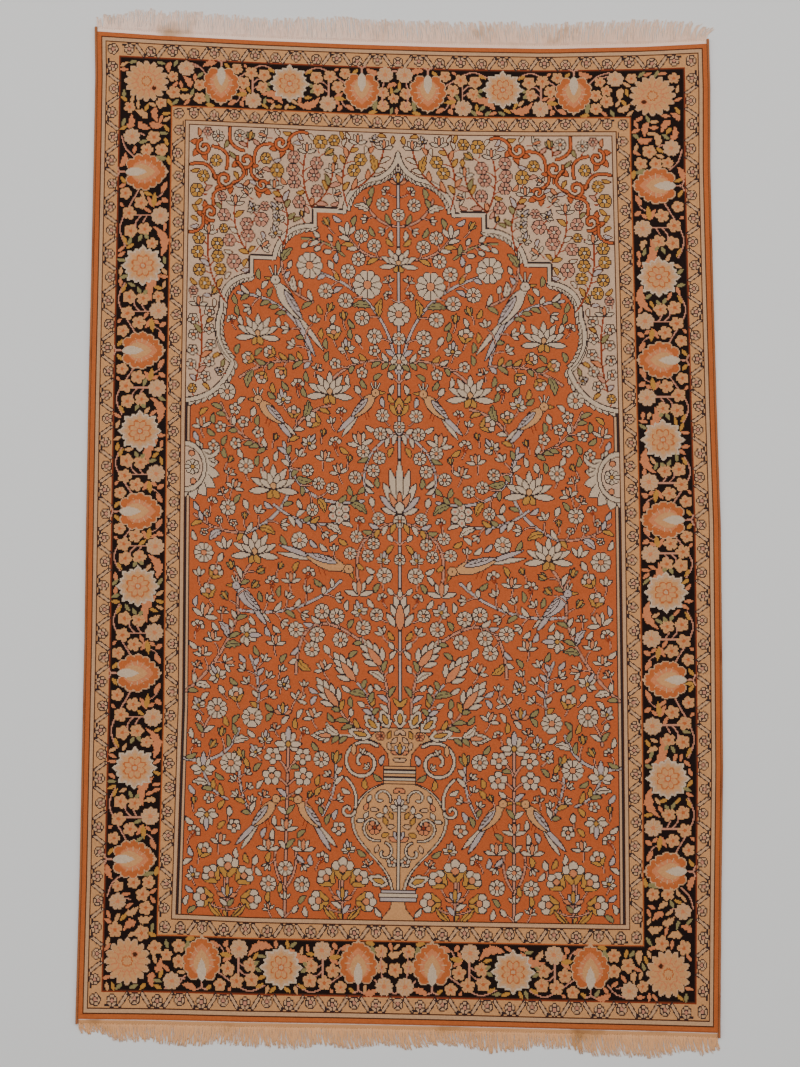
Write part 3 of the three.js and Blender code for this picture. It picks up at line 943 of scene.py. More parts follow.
def flower_group(side, palmette_at, star_at):
    """The vine and small flowers between a palmette and a star, placed as shares of the way."""

    def way(share, depth):
        return spot(side, palmette_at + share * (star_at - palmette_at), depth)

    vine = [(0.17, 54), (0.27, 48), (0.36, 42), (0.5, 34), (0.6, 31), (0.69, 33), (0.79, 38)]
    for places, width in (
        (vine, 1.7), ([(0.46, 70), (0.46, 49)], 1.9), ([(0.46, 64), (0.54, 59)], 1.6),
        ([(0.47, 56), (0.54, 50), (0.6, 50)], 1.6), ([(0.3, 70), (0.25, 80), (0.2, 84)], 1.4),
    ):
        chart.stroke([way(*place) for place in places], "rose", width)
    for flower in rows(
        "share depth radius",
        (0.33, 56, 8.6), (0.44, 42, 8.8), (0.61, 61, 8.4), (0.63, 44, 8.8), (0.23, 37, 7.8),
    ):
        chart.blossom(*way(flower["share"], flower["depth"]), flower["radius"], turn=inward[side])
    chart.blossom(*way(0.47, 79.5), 11.2, 9, "cream", "beige", "salmon")
    for part in rows(
        "share depth to_share to_depth width silk bend teeth",
        (0.9, 82, 0.58, 71, 11, "salmon", 0.22, 4),
        (0.66, 61, 0.72, 66, 4.5, "olive", 0, 0),
        (0.67, 58, 0.75, 53, 4.5, "olive", 0, 0),
        (0.68, 34, 0.78, 40, 4.5, "gold", 0, 0),
        (0.38, 72, 0.26, 64, 6, "salmon", 0, 0),
        (0.38, 71, 0.22, 73, 6, "gold", 0, 0),
        (0.36, 74, 0.31, 81, 4.5, "salmon", 0, 0),
        (0.22, 80, 0.1, 88, 6, "salmon", 0, 0),
        (0.28, 81, 0.33, 89, 6, "salmon", 0, 0),
        (0.05, 31, 0.13, 37, 4.5, "gold", 0, 0),
        (0.33, 30, 0.37, 35, 4, "salmon", 0, 0),
    ):
        chart.leaf(
            *way(part["share"], part["depth"]), *way(part["to_share"], part["to_depth"]),
            part["width"], part["silk"], None, part["bend"], part["teeth"],
        )


def end_group(side, palmette_at, way_out):
    """The flowers on the other side of a palmette, towards a corner or the middle of an end."""

    def way(distance, depth):
        return spot(side, palmette_at + way_out * distance, depth)

    chart.stroke([way(20, 46), way(30, 36), way(45, 31)], "rose", 1.7)
    for distance, depth, radius in ((28, 80, 8.2), (28, 62, 8.0)):
        chart.blossom(*way(distance, depth), radius, turn=inward[side])
    chart.leaf(*way(6, 30), *way(24, 36), 8, "salmon", None, 0.1, 4)
    chart.leaf(*way(19, 72), *way(16, 88), 6, "olive", None)
    chart.leaf(*way(20, 88), *way(8, 90), 5, "gold", None)


end_sides = {"near": (-239, -142, -48, 41, 137, 229), "far": (-230, -141, -47, 38, 133, 223)}
long_sides = {
    "left": (180, 291, 407, 514, 607, 707, 808, 915, 1034),
    "right": (178, 291, 412, 520, 610, 710, 810, 915, 1031),
}
for side, depth in (("near", 64), ("far", 59)):
    first, star_a, second, third, star_b, last = end_sides[side]
    for palmette_at, star_at in ((first, star_a), (second, star_a), (third, star_b), (last, star_b)):
        flower_group(side, palmette_at, star_at)
    end_group(side, first, -1)
    end_group(side, last, 1)
    end_group(side, second, 1)
    end_group(side, third, -1)
    for palmette_at in (first, second, third, last):
        palmette(side, palmette_at, depth)
    for star_at in (star_a, star_b):
        star(side, star_at, depth - 5)
for side, depth in (("left", 59.5), ("right", 62)):
    places = long_sides[side]
    for number, (here, there) in enumerate(zip(places[:-1], places[1:])):
        flower_group(side, *((here, there) if number % 2 == 0 else (there, here)))
    end_group(side, places[0], -1)
    end_group(side, places[-1], 1)
    for number, place in enumerate(places):
        (star if number % 2 else palmette)(side, place, depth)
for x, y in ((341, 129), (275, 40), (275, pile_length - 40), (341, pile_length - 129)):
    for hand in (-1, 1):
        chart.stroke([(hand * x, y), (hand * (x - 8), y + 4), (hand * (x - 15), y + 2)], "rose", 1.7)
        chart.blossom(hand * x, y, 10.5, 9, "cream", "beige", "salmon")
for corner in rows(
    "x y dot_x dot_y",
    (-328, 62, -319, 70), (323, 60, 314, 69), (-324, 1149, -315, 1140), (319, 1145, 309, 1137),
):
    corner_flower(**corner)
for side, depth in (("near", 39), ("far", 37)):
    for hand in (-1, 1):
        x, y = spot(side, hand * 12.5 - 4, depth)
        chart.stroke([(x, y), spot(side, hand * 17 - 4, 64), spot(side, hand * 14 - 4, 80)], "rose", 1.7)
        chart.blossom(x, y, 11, 9, "cream", "beige", "salmon")
# Sprigs of a serrated leaf and a flower sit in what is left of the black ground, mostly in the corners.
border_low, border_high = 32, 88
leaf_inset = 33
for size, room, pitch in ((8.8, 8.8, 4), (7.2, 7.0, 3)):
    for side, (first, last) in side_spans.items():
        start, end = first + border_low + room, last - border_low - room
        for number, (depth, along) in sown(border_low + room, border_high - room, start, end, pitch):
            x, y = spot(side, along + 2 * chance(number, 1), depth + 2 * chance(number, 2))
            if not chart.free(x, y, room, "black"):
                continue
            heading = 360 * chance(number, 5)
            if chance(number, 7) < 0.55:
                root, tip = turned([(0, -size), (0, size)], x, y, heading)
                silk = ("salmon", "beige")[number % 2]
                chart.leaf(*root, *tip, 0.95 * size, silk, None, 0.12, 3, full=0.35)
            else:
                chart.blossom(x, y, size, turn=heading)
for number, (x, y) in sown(
    left=leaf_inset - half_width, right=half_width - leaf_inset,
    low=leaf_inset, high=pile_length - leaf_inset, pitch=3.5,
):
    if chart.free(x, y, 4.1, "black"):
        root, tip = turned([(0, -5.5), (0, 5.5)], x, y, 360 * chance(number, 3))
        chart.leaf(*root, *tip, 4.4, ("beige", "salmon", "gold", "salmon", "olive")[number % 5], None)

# How far the pile's sides and ends stray outward from the true rectangle, in millimetres.
side_stray = {
    "along": (-600, -450, -300, -150, 0, 150, 300, 450, 550, 604),
    "left": (4.0, 1.2, 0, -1.7, -2.1, -3.1, -4.9, -6.5, -7.3, -6.0),
    "right": (-1.0, 2.2, 5.8, 6.3, 6.4, 3.0, 0.5, -1.5, -0.4, -1.3),
}
end_stray = {
    "across": (-385, -300, -190, -60, 60, 190, 310, 385),
    "far": (25.5, 19.5, 14.0, 8.8, 5.2, 3.0, 5.6, 9.8),
    "near": (-17.0, -16.0, -13.5, -11.4, -8.8, -5.5, -2.6, -0.4),
}
# Where the field's edges lie, out from the middle of the rug.
field_sides = {
    "along": (-490, -350, -235, 0, 115, 290, 490),
    "left": (271.3, 267.8, 265.0, 264.9, 264.7, 263.5, 262.1),
    "right": (272.8, 272.6, 272.3, 271.1, 269.8, 267.0, 263.6),
}
field_ends = {
    "across": (-270, -180, -75, 0, 75, 180, 270),
    "far": (510.7, 506.6, 501.9, 499.4, 496.9, 495.9, 495.9),
    "near": (461.7, 465.9, 468.0, 469.5, 471.0, 472.9, 474.3),
}
# How the stripes share the border's depth, which differs from side to side.
border_shares = {
    "depth": (0, 28.8, 90.5, 113.7),
    "sides": (0, 0.253, 0.796, 1),
    "far": (0, 0.270, 0.782, 1),
    "near": (0, 0.278, 0.787, 1),
}
middle_share = 0.4935


def read(table, column, at):
    """A column's value between the table's stations, which its first column gives."""
    key = next(iter(table))
    return np.interp(at, table[key], table[column])


def laid(across, along):
    """Where a place on the true rectangle lies on the uneven rug, both in millimetres from the middle."""
    across, along = np.broadcast_arrays(np.asarray(across, float), np.asarray(along, float))
    left = -half_width - read(side_stray, "left", along)
    right = half_width + read(side_stray, "right", along)
    field_left = -read(field_sides, "left", along)
    field_right = read(field_sides, "right", along)
    field_middle = field_left + (field_right - field_left) * middle_share
    depth = half_width - np.abs(across)
    share = read(border_shares, "sides", depth)
    in_field = np.where(
        across < 0,
        field_middle + (field_middle - field_left) * across / field_half,
        field_middle + (field_right - field_middle) * across / field_half,
    )
    in_border = np.where(
        across < 0,
        left + (field_left - left) * share,
        right + (field_right - right) * share,
    )
    x = np.where(depth >= border_depth, in_field, in_border)

    far = half_length + read(end_stray, "far", across)
    near = -half_length - read(end_stray, "near", across)
    field_far = read(field_ends, "far", across)
    field_near = -read(field_ends, "near", across)
    depth = half_length - np.abs(along)
    way = (along + half_length - border_depth) / (pile_length - 2 * border_depth)
    in_border = np.where(
        along > 0,
        far + (field_far - far) * read(border_shares, "far", depth),
        near + (field_near - near) * read(border_shares, "near", depth),
    )
    y = np.where(depth >= border_depth, field_near + (field_far - field_near) * way, in_border)
    return x, y


# The rug's middle in the frame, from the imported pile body's box.
body_low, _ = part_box("pile_body")
edge_steps = np.linspace(-half_length, half_length, 400)
across_steps = np.linspace(-half_width, half_width, 400)
frame_x = body_low.x / millimetre - laid(-half_width, edge_steps)[0].min()
frame_y = body_low.y / millimetre - laid(across_steps, -half_length)[1].min()

pile_height = 4.6
foundation_height = 1.5
edge_round = 1.1
swell = 0.35
short_wave = 440
long_wave = 1000


def surface_height(across, along):
    """The clipped pile lies a little high and low, and rounds off at its rim."""
    first = np.sin(2 * math.pi * (across / short_wave + along / long_wave))
    second = np.cos(2 * math.pi * (along / short_wave - across / long_wave))
    on_rim = (np.abs(across) > half_width - 0.5) | (np.abs(along) > half_length - 0.5)
    return np.where(on_rim, pile_height - edge_round, pile_height + swell * first * second)


def strip(low_stops, high_stops):
    """The triangles between two rows of stops: those on two low stops, then those on two high ones."""
    low_next = low_stops[1:]
    top = high_stops[np.searchsorted(high_stops, low_next, "left") - 1]
    from_low = np.stack((low_stops[:-1], low_next, top), 1)
    high_next = high_stops[1:]
    bottom = low_stops[np.searchsorted(low_stops, high_next, "right") - 1]
    from_high = np.stack((high_stops[:-1], bottom, high_next), 1)
    return from_low, from_high


longest_run = 20
# The hidden faces need only enough stops to follow the bow of the rug's ends.
hidden_run = 48


def run_stops(colours, first, last):
    """Where the silk changes along a row of knots, with no run too long."""
    change = np.flatnonzero(np.diff(colours[first:last])) + first + 1
    even = np.arange(first, last, longest_run)
    return np.unique(np.concatenate(([first, last], change, even)))


def knotted(name, knots, columns, lines, shown, hidden, scale=(1, 1)):
    """A closed piece of the rug whose shown face has a face or more for each run of equal knots.
    columns and lines are its first and last column and row of knots, and scale is how many knots one
    cell stands for each way. shown gives the height of that face, and hidden is the height of the other."""
    first, last = columns
    low_line, high_line = lines
    stops = {line: run_stops(knots[line], first, last) for line in range(low_line, high_line)}
    rims = {low_line: stops[low_line], high_line: stops[high_line - 1]}
    plain = np.append(np.arange(first, last, hidden_run // scale[0]), last)
    width = knots.shape[1] + 1

    def corner(line, column):
        """A corner's number, counted along the rows of knots."""
        return line * width + column

    def between(line, below, above):
        """The triangles of one row of knots, as numbers of corners."""
        low, high = strip(below, above)
        low = (corner(line, low[:, 0]), corner(line, low[:, 1]), corner(line + 1, low[:, 2]))
        high = (corner(line + 1, high[:, 0]), corner(line, high[:, 1]), corner(line + 1, high[:, 2]))
        return np.vstack((np.stack(low, 1), np.stack(high, 1)))

    faces, silks, under = [], [], []
    for line in range(low_line, high_line):
        below = stops[line] if line == low_line else np.union1d(stops[line - 1], stops[line])
        above = stops[line] if line == high_line - 1 else np.union1d(stops[line], stops[line + 1])
        strip_faces = between(line, below, above)
        faces.append(strip_faces)
        silks.append(knots[line, strip_faces[:, 0] % width])
        under.append(between(line, rims.get(line, plain), rims.get(line + 1, plain))[:, ::-1])
    faces, silks, under = np.vstack(faces), np.concatenate(silks), np.vstack(under)

    inner_lines = np.arange(low_line + 1, high_line)
    loop = np.concatenate((
        corner(low_line, rims[low_line]), corner(inner_lines, last),
        corner(high_line, rims[high_line][::-1]), corner(inner_lines[::-1], first),
    ))
    after = np.roll(loop, -1)
    rim_knots = knots[
        np.clip(loop // width, low_line, high_line - 1), np.clip(loop % width, first, last - 1)
    ]
    used = np.unique(np.concatenate((faces.ravel(), loop)))
    hidden_used = np.unique(np.concatenate((under.ravel(), loop)))
    charted = np.concatenate((used, hidden_used))
    across = charted % width * scale[0] * knot_width - half_width
    along = charted // width * scale[1] * knot_height - half_length
    x, y = laid(across, along)
    height = np.where(np.arange(len(charted)) < len(used), shown(across, along), hidden)
    shown_place = np.zeros(charted.max() + 1, int)
    shown_place[used] = np.arange(len(used))
    hidden_place = np.zeros(charted.max() + 1, int)
    hidden_place[hidden_used] = np.arange(len(hidden_used)) + len(used)
    triangles = np.vstack((
        shown_place[faces], hidden_place[under],
        np.stack((hidden_place[loop], hidden_place[after], shown_place[after]), 1),
        np.stack((hidden_place[loop], shown_place[after], shown_place[loop]), 1),
    ))
    if hidden > height[: len(used)].mean():
        triangles = triangles[:, ::-1]
    face_silks = np.concatenate((silks, np.zeros(len(under), np.uint8), rim_knots, rim_knots))

    mesh = bpy.data.meshes.new(name)
    points = np.stack((x + frame_x, y + frame_y, height), 1) * millimetre
    mesh.vertices.add(len(points))
    mesh.vertices.foreach_set("co", points.astype(np.float32).ravel())
    mesh.loops.add(triangles.size)
    mesh.loops.foreach_set("vertex_index", triangles.astype(np.int32).ravel())
    mesh.polygons.add(len(triangles))
    mesh.polygons.foreach_set("loop_start", np.arange(0, triangles.size, 3, dtype=np.int32))
    mesh.update(calc_edges=True)
    mesh.validate()
    mesh.shade_flat()
    silk = mesh.attributes.new("silk", "FLOAT_COLOR", "FACE")
    silk.data.foreach_set("color", silk_lights[face_silks].astype(np.float32).ravel())

    cells = np.stack((charted % width, charted // width), 1)[triangles.ravel()]
    tile = (cells - (first, low_line)) / (last - first, high_line - low_line)
    whole = cells * scale / (knot_columns, knot_rows)
    for map_name, places in (("OFBake", tile), ("knots", whole)):
        mesh.uv_layers.new(name=map_name)
        mesh.uv_layers[map_name].data.foreach_set("uv", places.astype(np.float32).ravel())
    piece = bpy.data.objects.new(name, mesh)
    bpy.context.scene.collection.objects.link(piece)
    return piece


def light(code):
    """A dye's colour as linear light, from its sRGB code."""
    parts = np.array([int(code[start : start + 2], 16) for start in (0, 2, 4)]) / 255
    linear = np.where(parts <= 0.04045, parts / 12.92, ((parts + 0.055) / 1.055) ** 2.4)
    return (*linear, 1.0)


silk_lights = np.array([light(code) for code in silk_colours.values()])


class Strand:
    """A value that varies over a surface. Arithmetic on it adds the Math nodes."""

    def __init__(self, finish, socket):
        self.finish = finish
        self.socket = socket

    def math(self, operation, *values):
        """The value of one Math node."""
        places = dict(enumerate(values))
        return self.finish.node("ShaderNodeMath", {"operation": operation}, places)["Value"]

    def __add__(self, other):
        return self.math("ADD", self, other)

    def __sub__(self, other):
        return self.math("SUBTRACT", self, other)

    def __rsub__(self, other):
        return self.math("SUBTRACT", other, self)

    def __mul__(self, other):
        return self.math("MULTIPLY", self, other)

    __radd__ = __add__
    __rmul__ = __mul__


class Finish:
    """One silk or thread finish: a material, and the nodes that vary it."""

    def __init__(self, name):
        self.material = bpy.data.materials.new(name)
        self.material.use_nodes = True
        self.tree = self.material.node_tree
        self.shader = self.tree.nodes["Principled BSDF"]

    def socket(self, node, place):
        """A node's input, by its number or by its name among those in use."""
        if isinstance(place, int):
            return node.inputs[place]
        return next(entry for entry in node.inputs if entry.name == place and entry.enabled)

    def feed(self, node, values):
        """Sets a node's inputs, each to a fixed value or to a strand."""
        for place, value in values.items():
            socket = self.socket(node, place)
            if isinstance(value, Strand):
                self.tree.links.new(value.socket, socket)
            else:
                socket.default_value = value

    def node(self, kind, settings=None, values=None):
        """Adds a node, with its settings set first, and gives its outputs by name."""
        node = self.tree.nodes.new(kind)
        for setting, value in (settings or {}).items():
            setattr(node, setting, value)
        self.feed(node, values or {})
        return {output.name: Strand(self, output) for output in node.outputs if output.enabled}

    def places(self, operation, *values):
        """Arithmetic on places, each part on its own."""
        settings = {"operation": operation}
        return self.node("ShaderNodeVectorMath", settings, dict(enumerate(values)))["Vector"]

    def named(self, attribute, output="Fac"):
        """A value written on the piece's mesh."""
        return self.node("ShaderNodeAttribute", {"attribute_name": attribute})[output]

    def spread(self, value, low, high, to_low, to_high):
        """A value taken from one span to another and held inside it."""
        return self.node("ShaderNodeMapRange", {}, {
            "Value": value, "From Min": low, "From Max": high, "To Min": to_low, "To Max": to_high,
        })["Result"]

    def bump(self, strength, distance, height):
        """The surface's small relief, from a height."""
        values = {"Strength": strength, "Distance": distance, "Height": height}
        return self.node("ShaderNodeBump", {}, values)["Normal"]

    def blend(self, first, second, share, way="MIX"):
        """Two colours mixed, or the first multiplied or otherwise changed by the second."""
        settings = {"data_type": "RGBA", "blend_type": way}
        values = {"Factor": share, "A": first, "B": second}
        return self.node("ShaderNodeMix", settings, values)["Result"]

    def noise(self, place, scale, detail=2.0, stretch=(1, 1, 1)):
        """Smooth random patches, longer one way where the stretch is less."""
        values = {"Vector": self.places("MULTIPLY", place, stretch), "Scale": scale, "Detail": detail}
        return self.node("ShaderNodeTexNoise", {}, values)["Fac"]


def grey(strand):
    """A value turned to a grey colour for mixing with colours."""
    parts = {"Red": strand, "Green": strand, "Blue": strand}
    return strand.finish.node("ShaderNodeCombineColor", {}, parts)["Color"]


def silk_pile_finish(name, bump_depth):
    """Clipped silk: each knot a shade of its own, dye lots in bands along the rows, and a soft nap whose
    broad patches vary the roughness and are painted sheen in the colour.
    """
    finish = Finish(name)
    silk = finish.named("silk", "Color")
    place = finish.node("ShaderNodeTexCoord")["Object"]
    knots = finish.node("ShaderNodeUVMap", {"uv_map": "knots"})["UV"]
    knot = finish.places("MULTIPLY", knots, (knot_columns, knot_rows, 1))
    whole = finish.places("FLOOR", knot)
    luck = finish.node("ShaderNodeTexWhiteNoise", {"noise_dimensions": "2D"}, {"Vector": whole})["Value"]
    dye_lot = finish.noise(place, 5.0, 3.0, (0.35, 4.0, 1.0))
    # Painted sheen: broad patches that make the pile's colour lighter and darker, as the nap catches the
    # light. They also vary its roughness.
    painted_sheen_and_nap = finish.noise(place, 9.0, 4.0)
    fibre = finish.noise(place, 900.0, 2.0)
    tuft = finish.noise(place, 160.0, 3.0, (1.0, 1.6, 1.0))
    # The knots' own tone, the dye lots and the fine tufts, with the painted sheen of the nap.
    shade = 0.74 + 0.17 * luck + 0.16 * dye_lot + 0.1 * painted_sheen_and_nap + 0.16 * tuft
    colour = finish.blend(silk, grey(shade), 1.0, "MULTIPLY")
    part = finish.places("FRACTION", knot)
    sides = finish.node("ShaderNodeSeparateXYZ", {}, {"Vector": part})
    dome = (sides["X"] * (1 - sides["X"])) * (sides["Y"] * (1 - sides["Y"])) * 16
    height = dome * 0.7 + fibre * 0.3 + luck * 0.3
    normal = finish.bump(0.35, bump_depth, height)
    finish.feed(finish.shader, {
        "Base Color": colour,
        "Roughness": 0.66 + 0.16 * painted_sheen_and_nap - 0.1 * luck,
        "Normal": normal,
        "Specular IOR Level": 0.1,
        "Sheen Weight": 0.03,
        "Sheen Roughness": 0.4,
        "Sheen Tint": (1.0, 0.85, 0.75, 1.0),
    })
    return finish.material


silk_pile = silk_pile_finish("silk_pile", 0.0005)
column_parts = {"left": (0, 303), "right": (303, knot_columns)}
line_parts = {"near": (0, 318), "middle": (318, 636), "far": (636, knot_rows)}
pile_pieces = []
for line_name, lines in line_parts.items():
    for column_name, columns in column_parts.items():
        piece = knotted(
            f"pile_{line_name}_{column_name}", chart.knots, columns, lines,
            surface_height, foundation_height,
        )
        piece.data.materials.append(silk_pile)
        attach(piece, "root")
        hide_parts("pile_body")
        pile_pieces.append(piece)

# The overcast sides.
# The outer warps down each side are bundled and wrapped round with orange silk, turn against turn,
# into a firm ribbed cord. The wrapping runs on past the pile, beside the woven ends.
side_width = 3.2
side_height = 4.4
side_gap = 0.3
woven_width = 6.4
turn_pitch = 1.7
steps_a_turn = 3
rib_depth = 0.17
side_section = rows(
    "out up",
    (0.15, 0), (0, 0.3), (0.05, 0.75), (0.35, 1), (0.7, 0.95), (1, 0.6), (0.95, 0.2), (0.8, 0),
)


def tubes(name, rings):
    """A mesh of closed tubes, from an array of tubes by rings by points round them, in millimetres."""
    count, stations, around = rings.shape[:3]
    index = np.arange(count * stations * around).reshape(count, stations, around)
    low, high = index[:, :-1], index[:, 1:]
    sides = np.stack((low, np.roll(low, -1, 2), np.roll(high, -1, 2), high), -1).reshape(-1, 4)
    ends = np.concatenate((index[:, 0, ::-1], index[:, -1]))
    mesh = bpy.data.meshes.new(name)
    mesh.from_pydata((rings.reshape(-1, 3) * millimetre).tolist(), [], sides.tolist() + ends.tolist())
    shape = bmesh.new()
    shape.from_mesh(mesh)
    bmesh.ops.recalc_face_normals(shape, faces=shape.faces)
    shape.to_mesh(mesh)
    shape.free()
    mesh.shade_smooth()
    piece = bpy.data.objects.new(name, mesh)
    bpy.context.scene.collection.objects.link(piece)
    return piece


def mark(piece, name, values):
    """Writes a value at each point of the piece's mesh, for its finish to read."""
    values = np.ravel(values).astype(np.float32)
    piece.data.attributes.new(name, "FLOAT", "POINT").data.foreach_set("value", values)


def overcast_side(name, side):
    """One ribbed cord beside the pile, a little drawn in between its turns of silk."""
    along = np.arange(-half_length - woven_width, half_length + woven_width, turn_pitch / steps_a_turn)
    on_pile = np.clip(along, -half_length, half_length)
    x, y = laid(side * half_width, on_pile)
    out = np.array([corner["out"] for corner in side_section])
    up = np.array([corner["up"] for corner in side_section])
    share = np.arange(len(out)) / len(out)
    rib = 0.5 + 0.5 * np.cos(2 * math.pi * (along[:, None] / turn_pitch + share))
    drawn_in = 1 - rib_depth * (1 - rib)
    out = 0.5 + (out - 0.5) * drawn_in
    up = 0.5 + (up - 0.5) * drawn_in
    across = (x + frame_x)[:, None] + side * (side_gap + out * side_width)
    length = np.broadcast_to((y + along - on_pile + frame_y)[:, None], out.shape)
    piece = tubes(name, np.stack((across, length, up * side_height), -1)[None])
    # Painted shade: the grooves between the turns are marked so the finish darkens them, and its bump sinks
    # them.
    mark(piece, "groove_and_painted_shade", 1 - rib)
    return piece


bleached_thread = "F6E2D2"


def thread_finish(name, dyed, pale, dark, wear, aged=None):
    """Twisted thread: its dye or natural colour, worn paler in patches and stained darker in others.
    The grooves between the turns or stitches are darkened as painted shade, and bleached thread is nearly
    white.
    Where aged is given, the thread turns to that colour from the rug's left to its right."""
    finish = Finish(name)
    place = finish.node("ShaderNodeTexCoord")["Object"]
    patches = finish.noise(place, 16.0, 3.0, (1.0, 1.0, 0.2))
    strands = finish.noise(place, 420.0, 2.0, (1.0, 0.2, 1.0))
    twist = finish.noise(place, 1500.0, 1.0, (1.0, 0.6, 1.0))
    colour = light(dyed)
    if aged:
        across = finish.node("ShaderNodeSeparateXYZ", {}, {"Vector": place})["X"]
        turning = finish.spread(across + 0.3 * patches, -0.1, 0.3, 0.0, 1.0)
        colour = finish.blend(colour, light(aged), turning)
    bleached = finish.named("bleached")
    colour = finish.blend(colour, light(pale), wear * patches + 0.25 * strands)
    colour = finish.blend(colour, light(bleached_thread), 0.85 * bleached)
    stained = finish.spread(patches, 0.3, 0.43, 0.75, 0.0)
    groove_and_painted_shade = finish.named("groove_and_painted_shade")
    colour = finish.blend(colour, light(dark), stained)
    # Painted shade in the grooves between turns and in the stitch pits, darkened towards the dark colour.
    colour = finish.blend(colour, light(dark), 0.75 * groove_and_painted_shade)
    height = twist * 0.5 + strands * 0.5 - groove_and_painted_shade
    normal = finish.bump(0.4, 0.0003, height)
    finish.feed(finish.shader, {
        "Base Color": colour,
        "Roughness": 0.6 + 0.25 * strands,
        "Normal": normal,
        "Specular IOR Level": 0.2,
    })
    return finish.material


edge_pieces = []
overcast_silk = thread_finish("overcast_silk", dyed="A35A2E", pale="C68A5C", dark="7C3F1E", wear=0.5)
for name, side, node in (("left_side_wrap", -1, "left_selvedge"), ("right_side_wrap", 1, "right_selvedge")):
    piece = overcast_side(name, side)
    piece.data.materials.append(overcast_silk)
    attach(piece, "root")
    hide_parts(node)
    edge_pieces.append(piece)

# The woven ends.
# Past the last row of knots the bare warps are woven with a few plain wefts, which makes a narrow
# flat strip that keeps the knots from slipping off. It is cream at the far end and tan at the near
# one, thinner than the pile and palest beside it. Stitches near its outer edge leave small pits.
woven_height = 1.6
woven_rim_height = 1.3
weave_step = 1.0
weave_relief = 0.12
weft_count = 6
stitch_pitch = 3
stitch_depth = 0.7


def woven_end(name, end):
    """A strip of plain weave past one end of the pile, its warps and wefts over and under."""
    across = np.linspace(-half_width, half_width, round(2 * half_width / weave_step))
    out = np.linspace(side_gap, woven_width, weft_count)
    x, y = laid(across, end * half_length)
    over = (np.arange(len(across))[:, None] + np.arange(weft_count)) % 2
    height = np.interp(out, (side_gap, woven_width), (woven_height, woven_rim_height)) - weave_relief * over
    stitch = np.zeros(height.shape)
    stitch[::stitch_pitch, -2] = 1
    height = height - stitch_depth * stitch
    top = np.stack((
        np.broadcast_to((x + frame_x)[:, None], height.shape), (y + frame_y)[:, None] + end * out, height,
    ), -1)
    foot = top[:, (-1, 0)] * (1, 1, 0)
    piece = tubes(name, np.concatenate((top, foot), 1)[None])
    bleached = piece.data.attributes.new("bleached", "FLOAT", "FACE")
    weft = np.arange(len(piece.data.polygons)) % (weft_count + 2)
    bleached.data.foreach_set("value", (weft == 0).astype(np.float32))
    # Painted shade: the stitch pits are marked so the finish darkens them, and its bump sinks them further.
    mark(piece, "groove_and_painted_shade", np.concatenate((stitch, np.zeros((len(stitch), 2))), 1))
    return piece


far_warp = thread_finish(
    "far_warp", dyed="FACBAE", pale="FFE9DA", dark="B08458", wear=0.6, aged="EFB486",
)
near_warp = thread_finish("near_warp", dyed="E4A066", pale="F0BC8C", dark="A0703F", wear=0.6)
near_weave = thread_finish("near_weave", dyed="C4854F", pale="DCA678", dark="8A5A30", wear=0.5)
warps = {"far": far_warp, "near": near_warp}
weaves = {"far": far_warp, "near": near_weave}
for side, end in (("far", 1), ("near", -1)):
    piece = woven_end(f"{side}_woven_end", end)
    piece.data.materials.append(weaves[side])
    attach(piece, "root")
    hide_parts(f"{side}_fringe")
    edge_pieces.append(piece)

# The fringe.
# It is the rug's own warps, cut off past the woven ends and gathered by use into ragged tufts of
# six to nine threads, which lie flat on the floor. Each end leans and frays in its own way.
tuft_count = 124
tuft_pitch = 2 * half_width / tuft_count
thread_start = 5.2
thread_radius = 0.66
thread_rings = 7
askew_share = 0.04
askew_reach = 24
far_fringe = {
    "across": (-385, -362, -320, -285, -240, -140, -80, 20, 80, 150, 195, 240, 330, 362, 380, 385),
    "reach": (20, 27, 36, 35, 32, 32, 36, 34, 37, 35, 33, 37, 35, 31, 23, 17),
    "lean": (-2, 0, 1, 1, 0, -1, -2, -3, -4, -4, 0, 3, 5, 5, 9, 12),
}
near_fringe = {
    "across": (
        -385, -366, -345, -290, -245, -215, -180, -130, -95, -55, -18,
        8, 45, 110, 160, 196, 226, 300, 345, 365, 385,
    ),
    "reach": (20, 17, 27, 30, 31, 27, 32, 32, 28, 31, 26, 31, 24, 34, 26, 24, 34, 33, 24, 29, 20),
    "lean": (4, 3, 3, 1, -3, -3, 0, 3, 3, 4, 3, 6, 5, 2, 0, 2, 6, 5, 4, 3, 2),
}


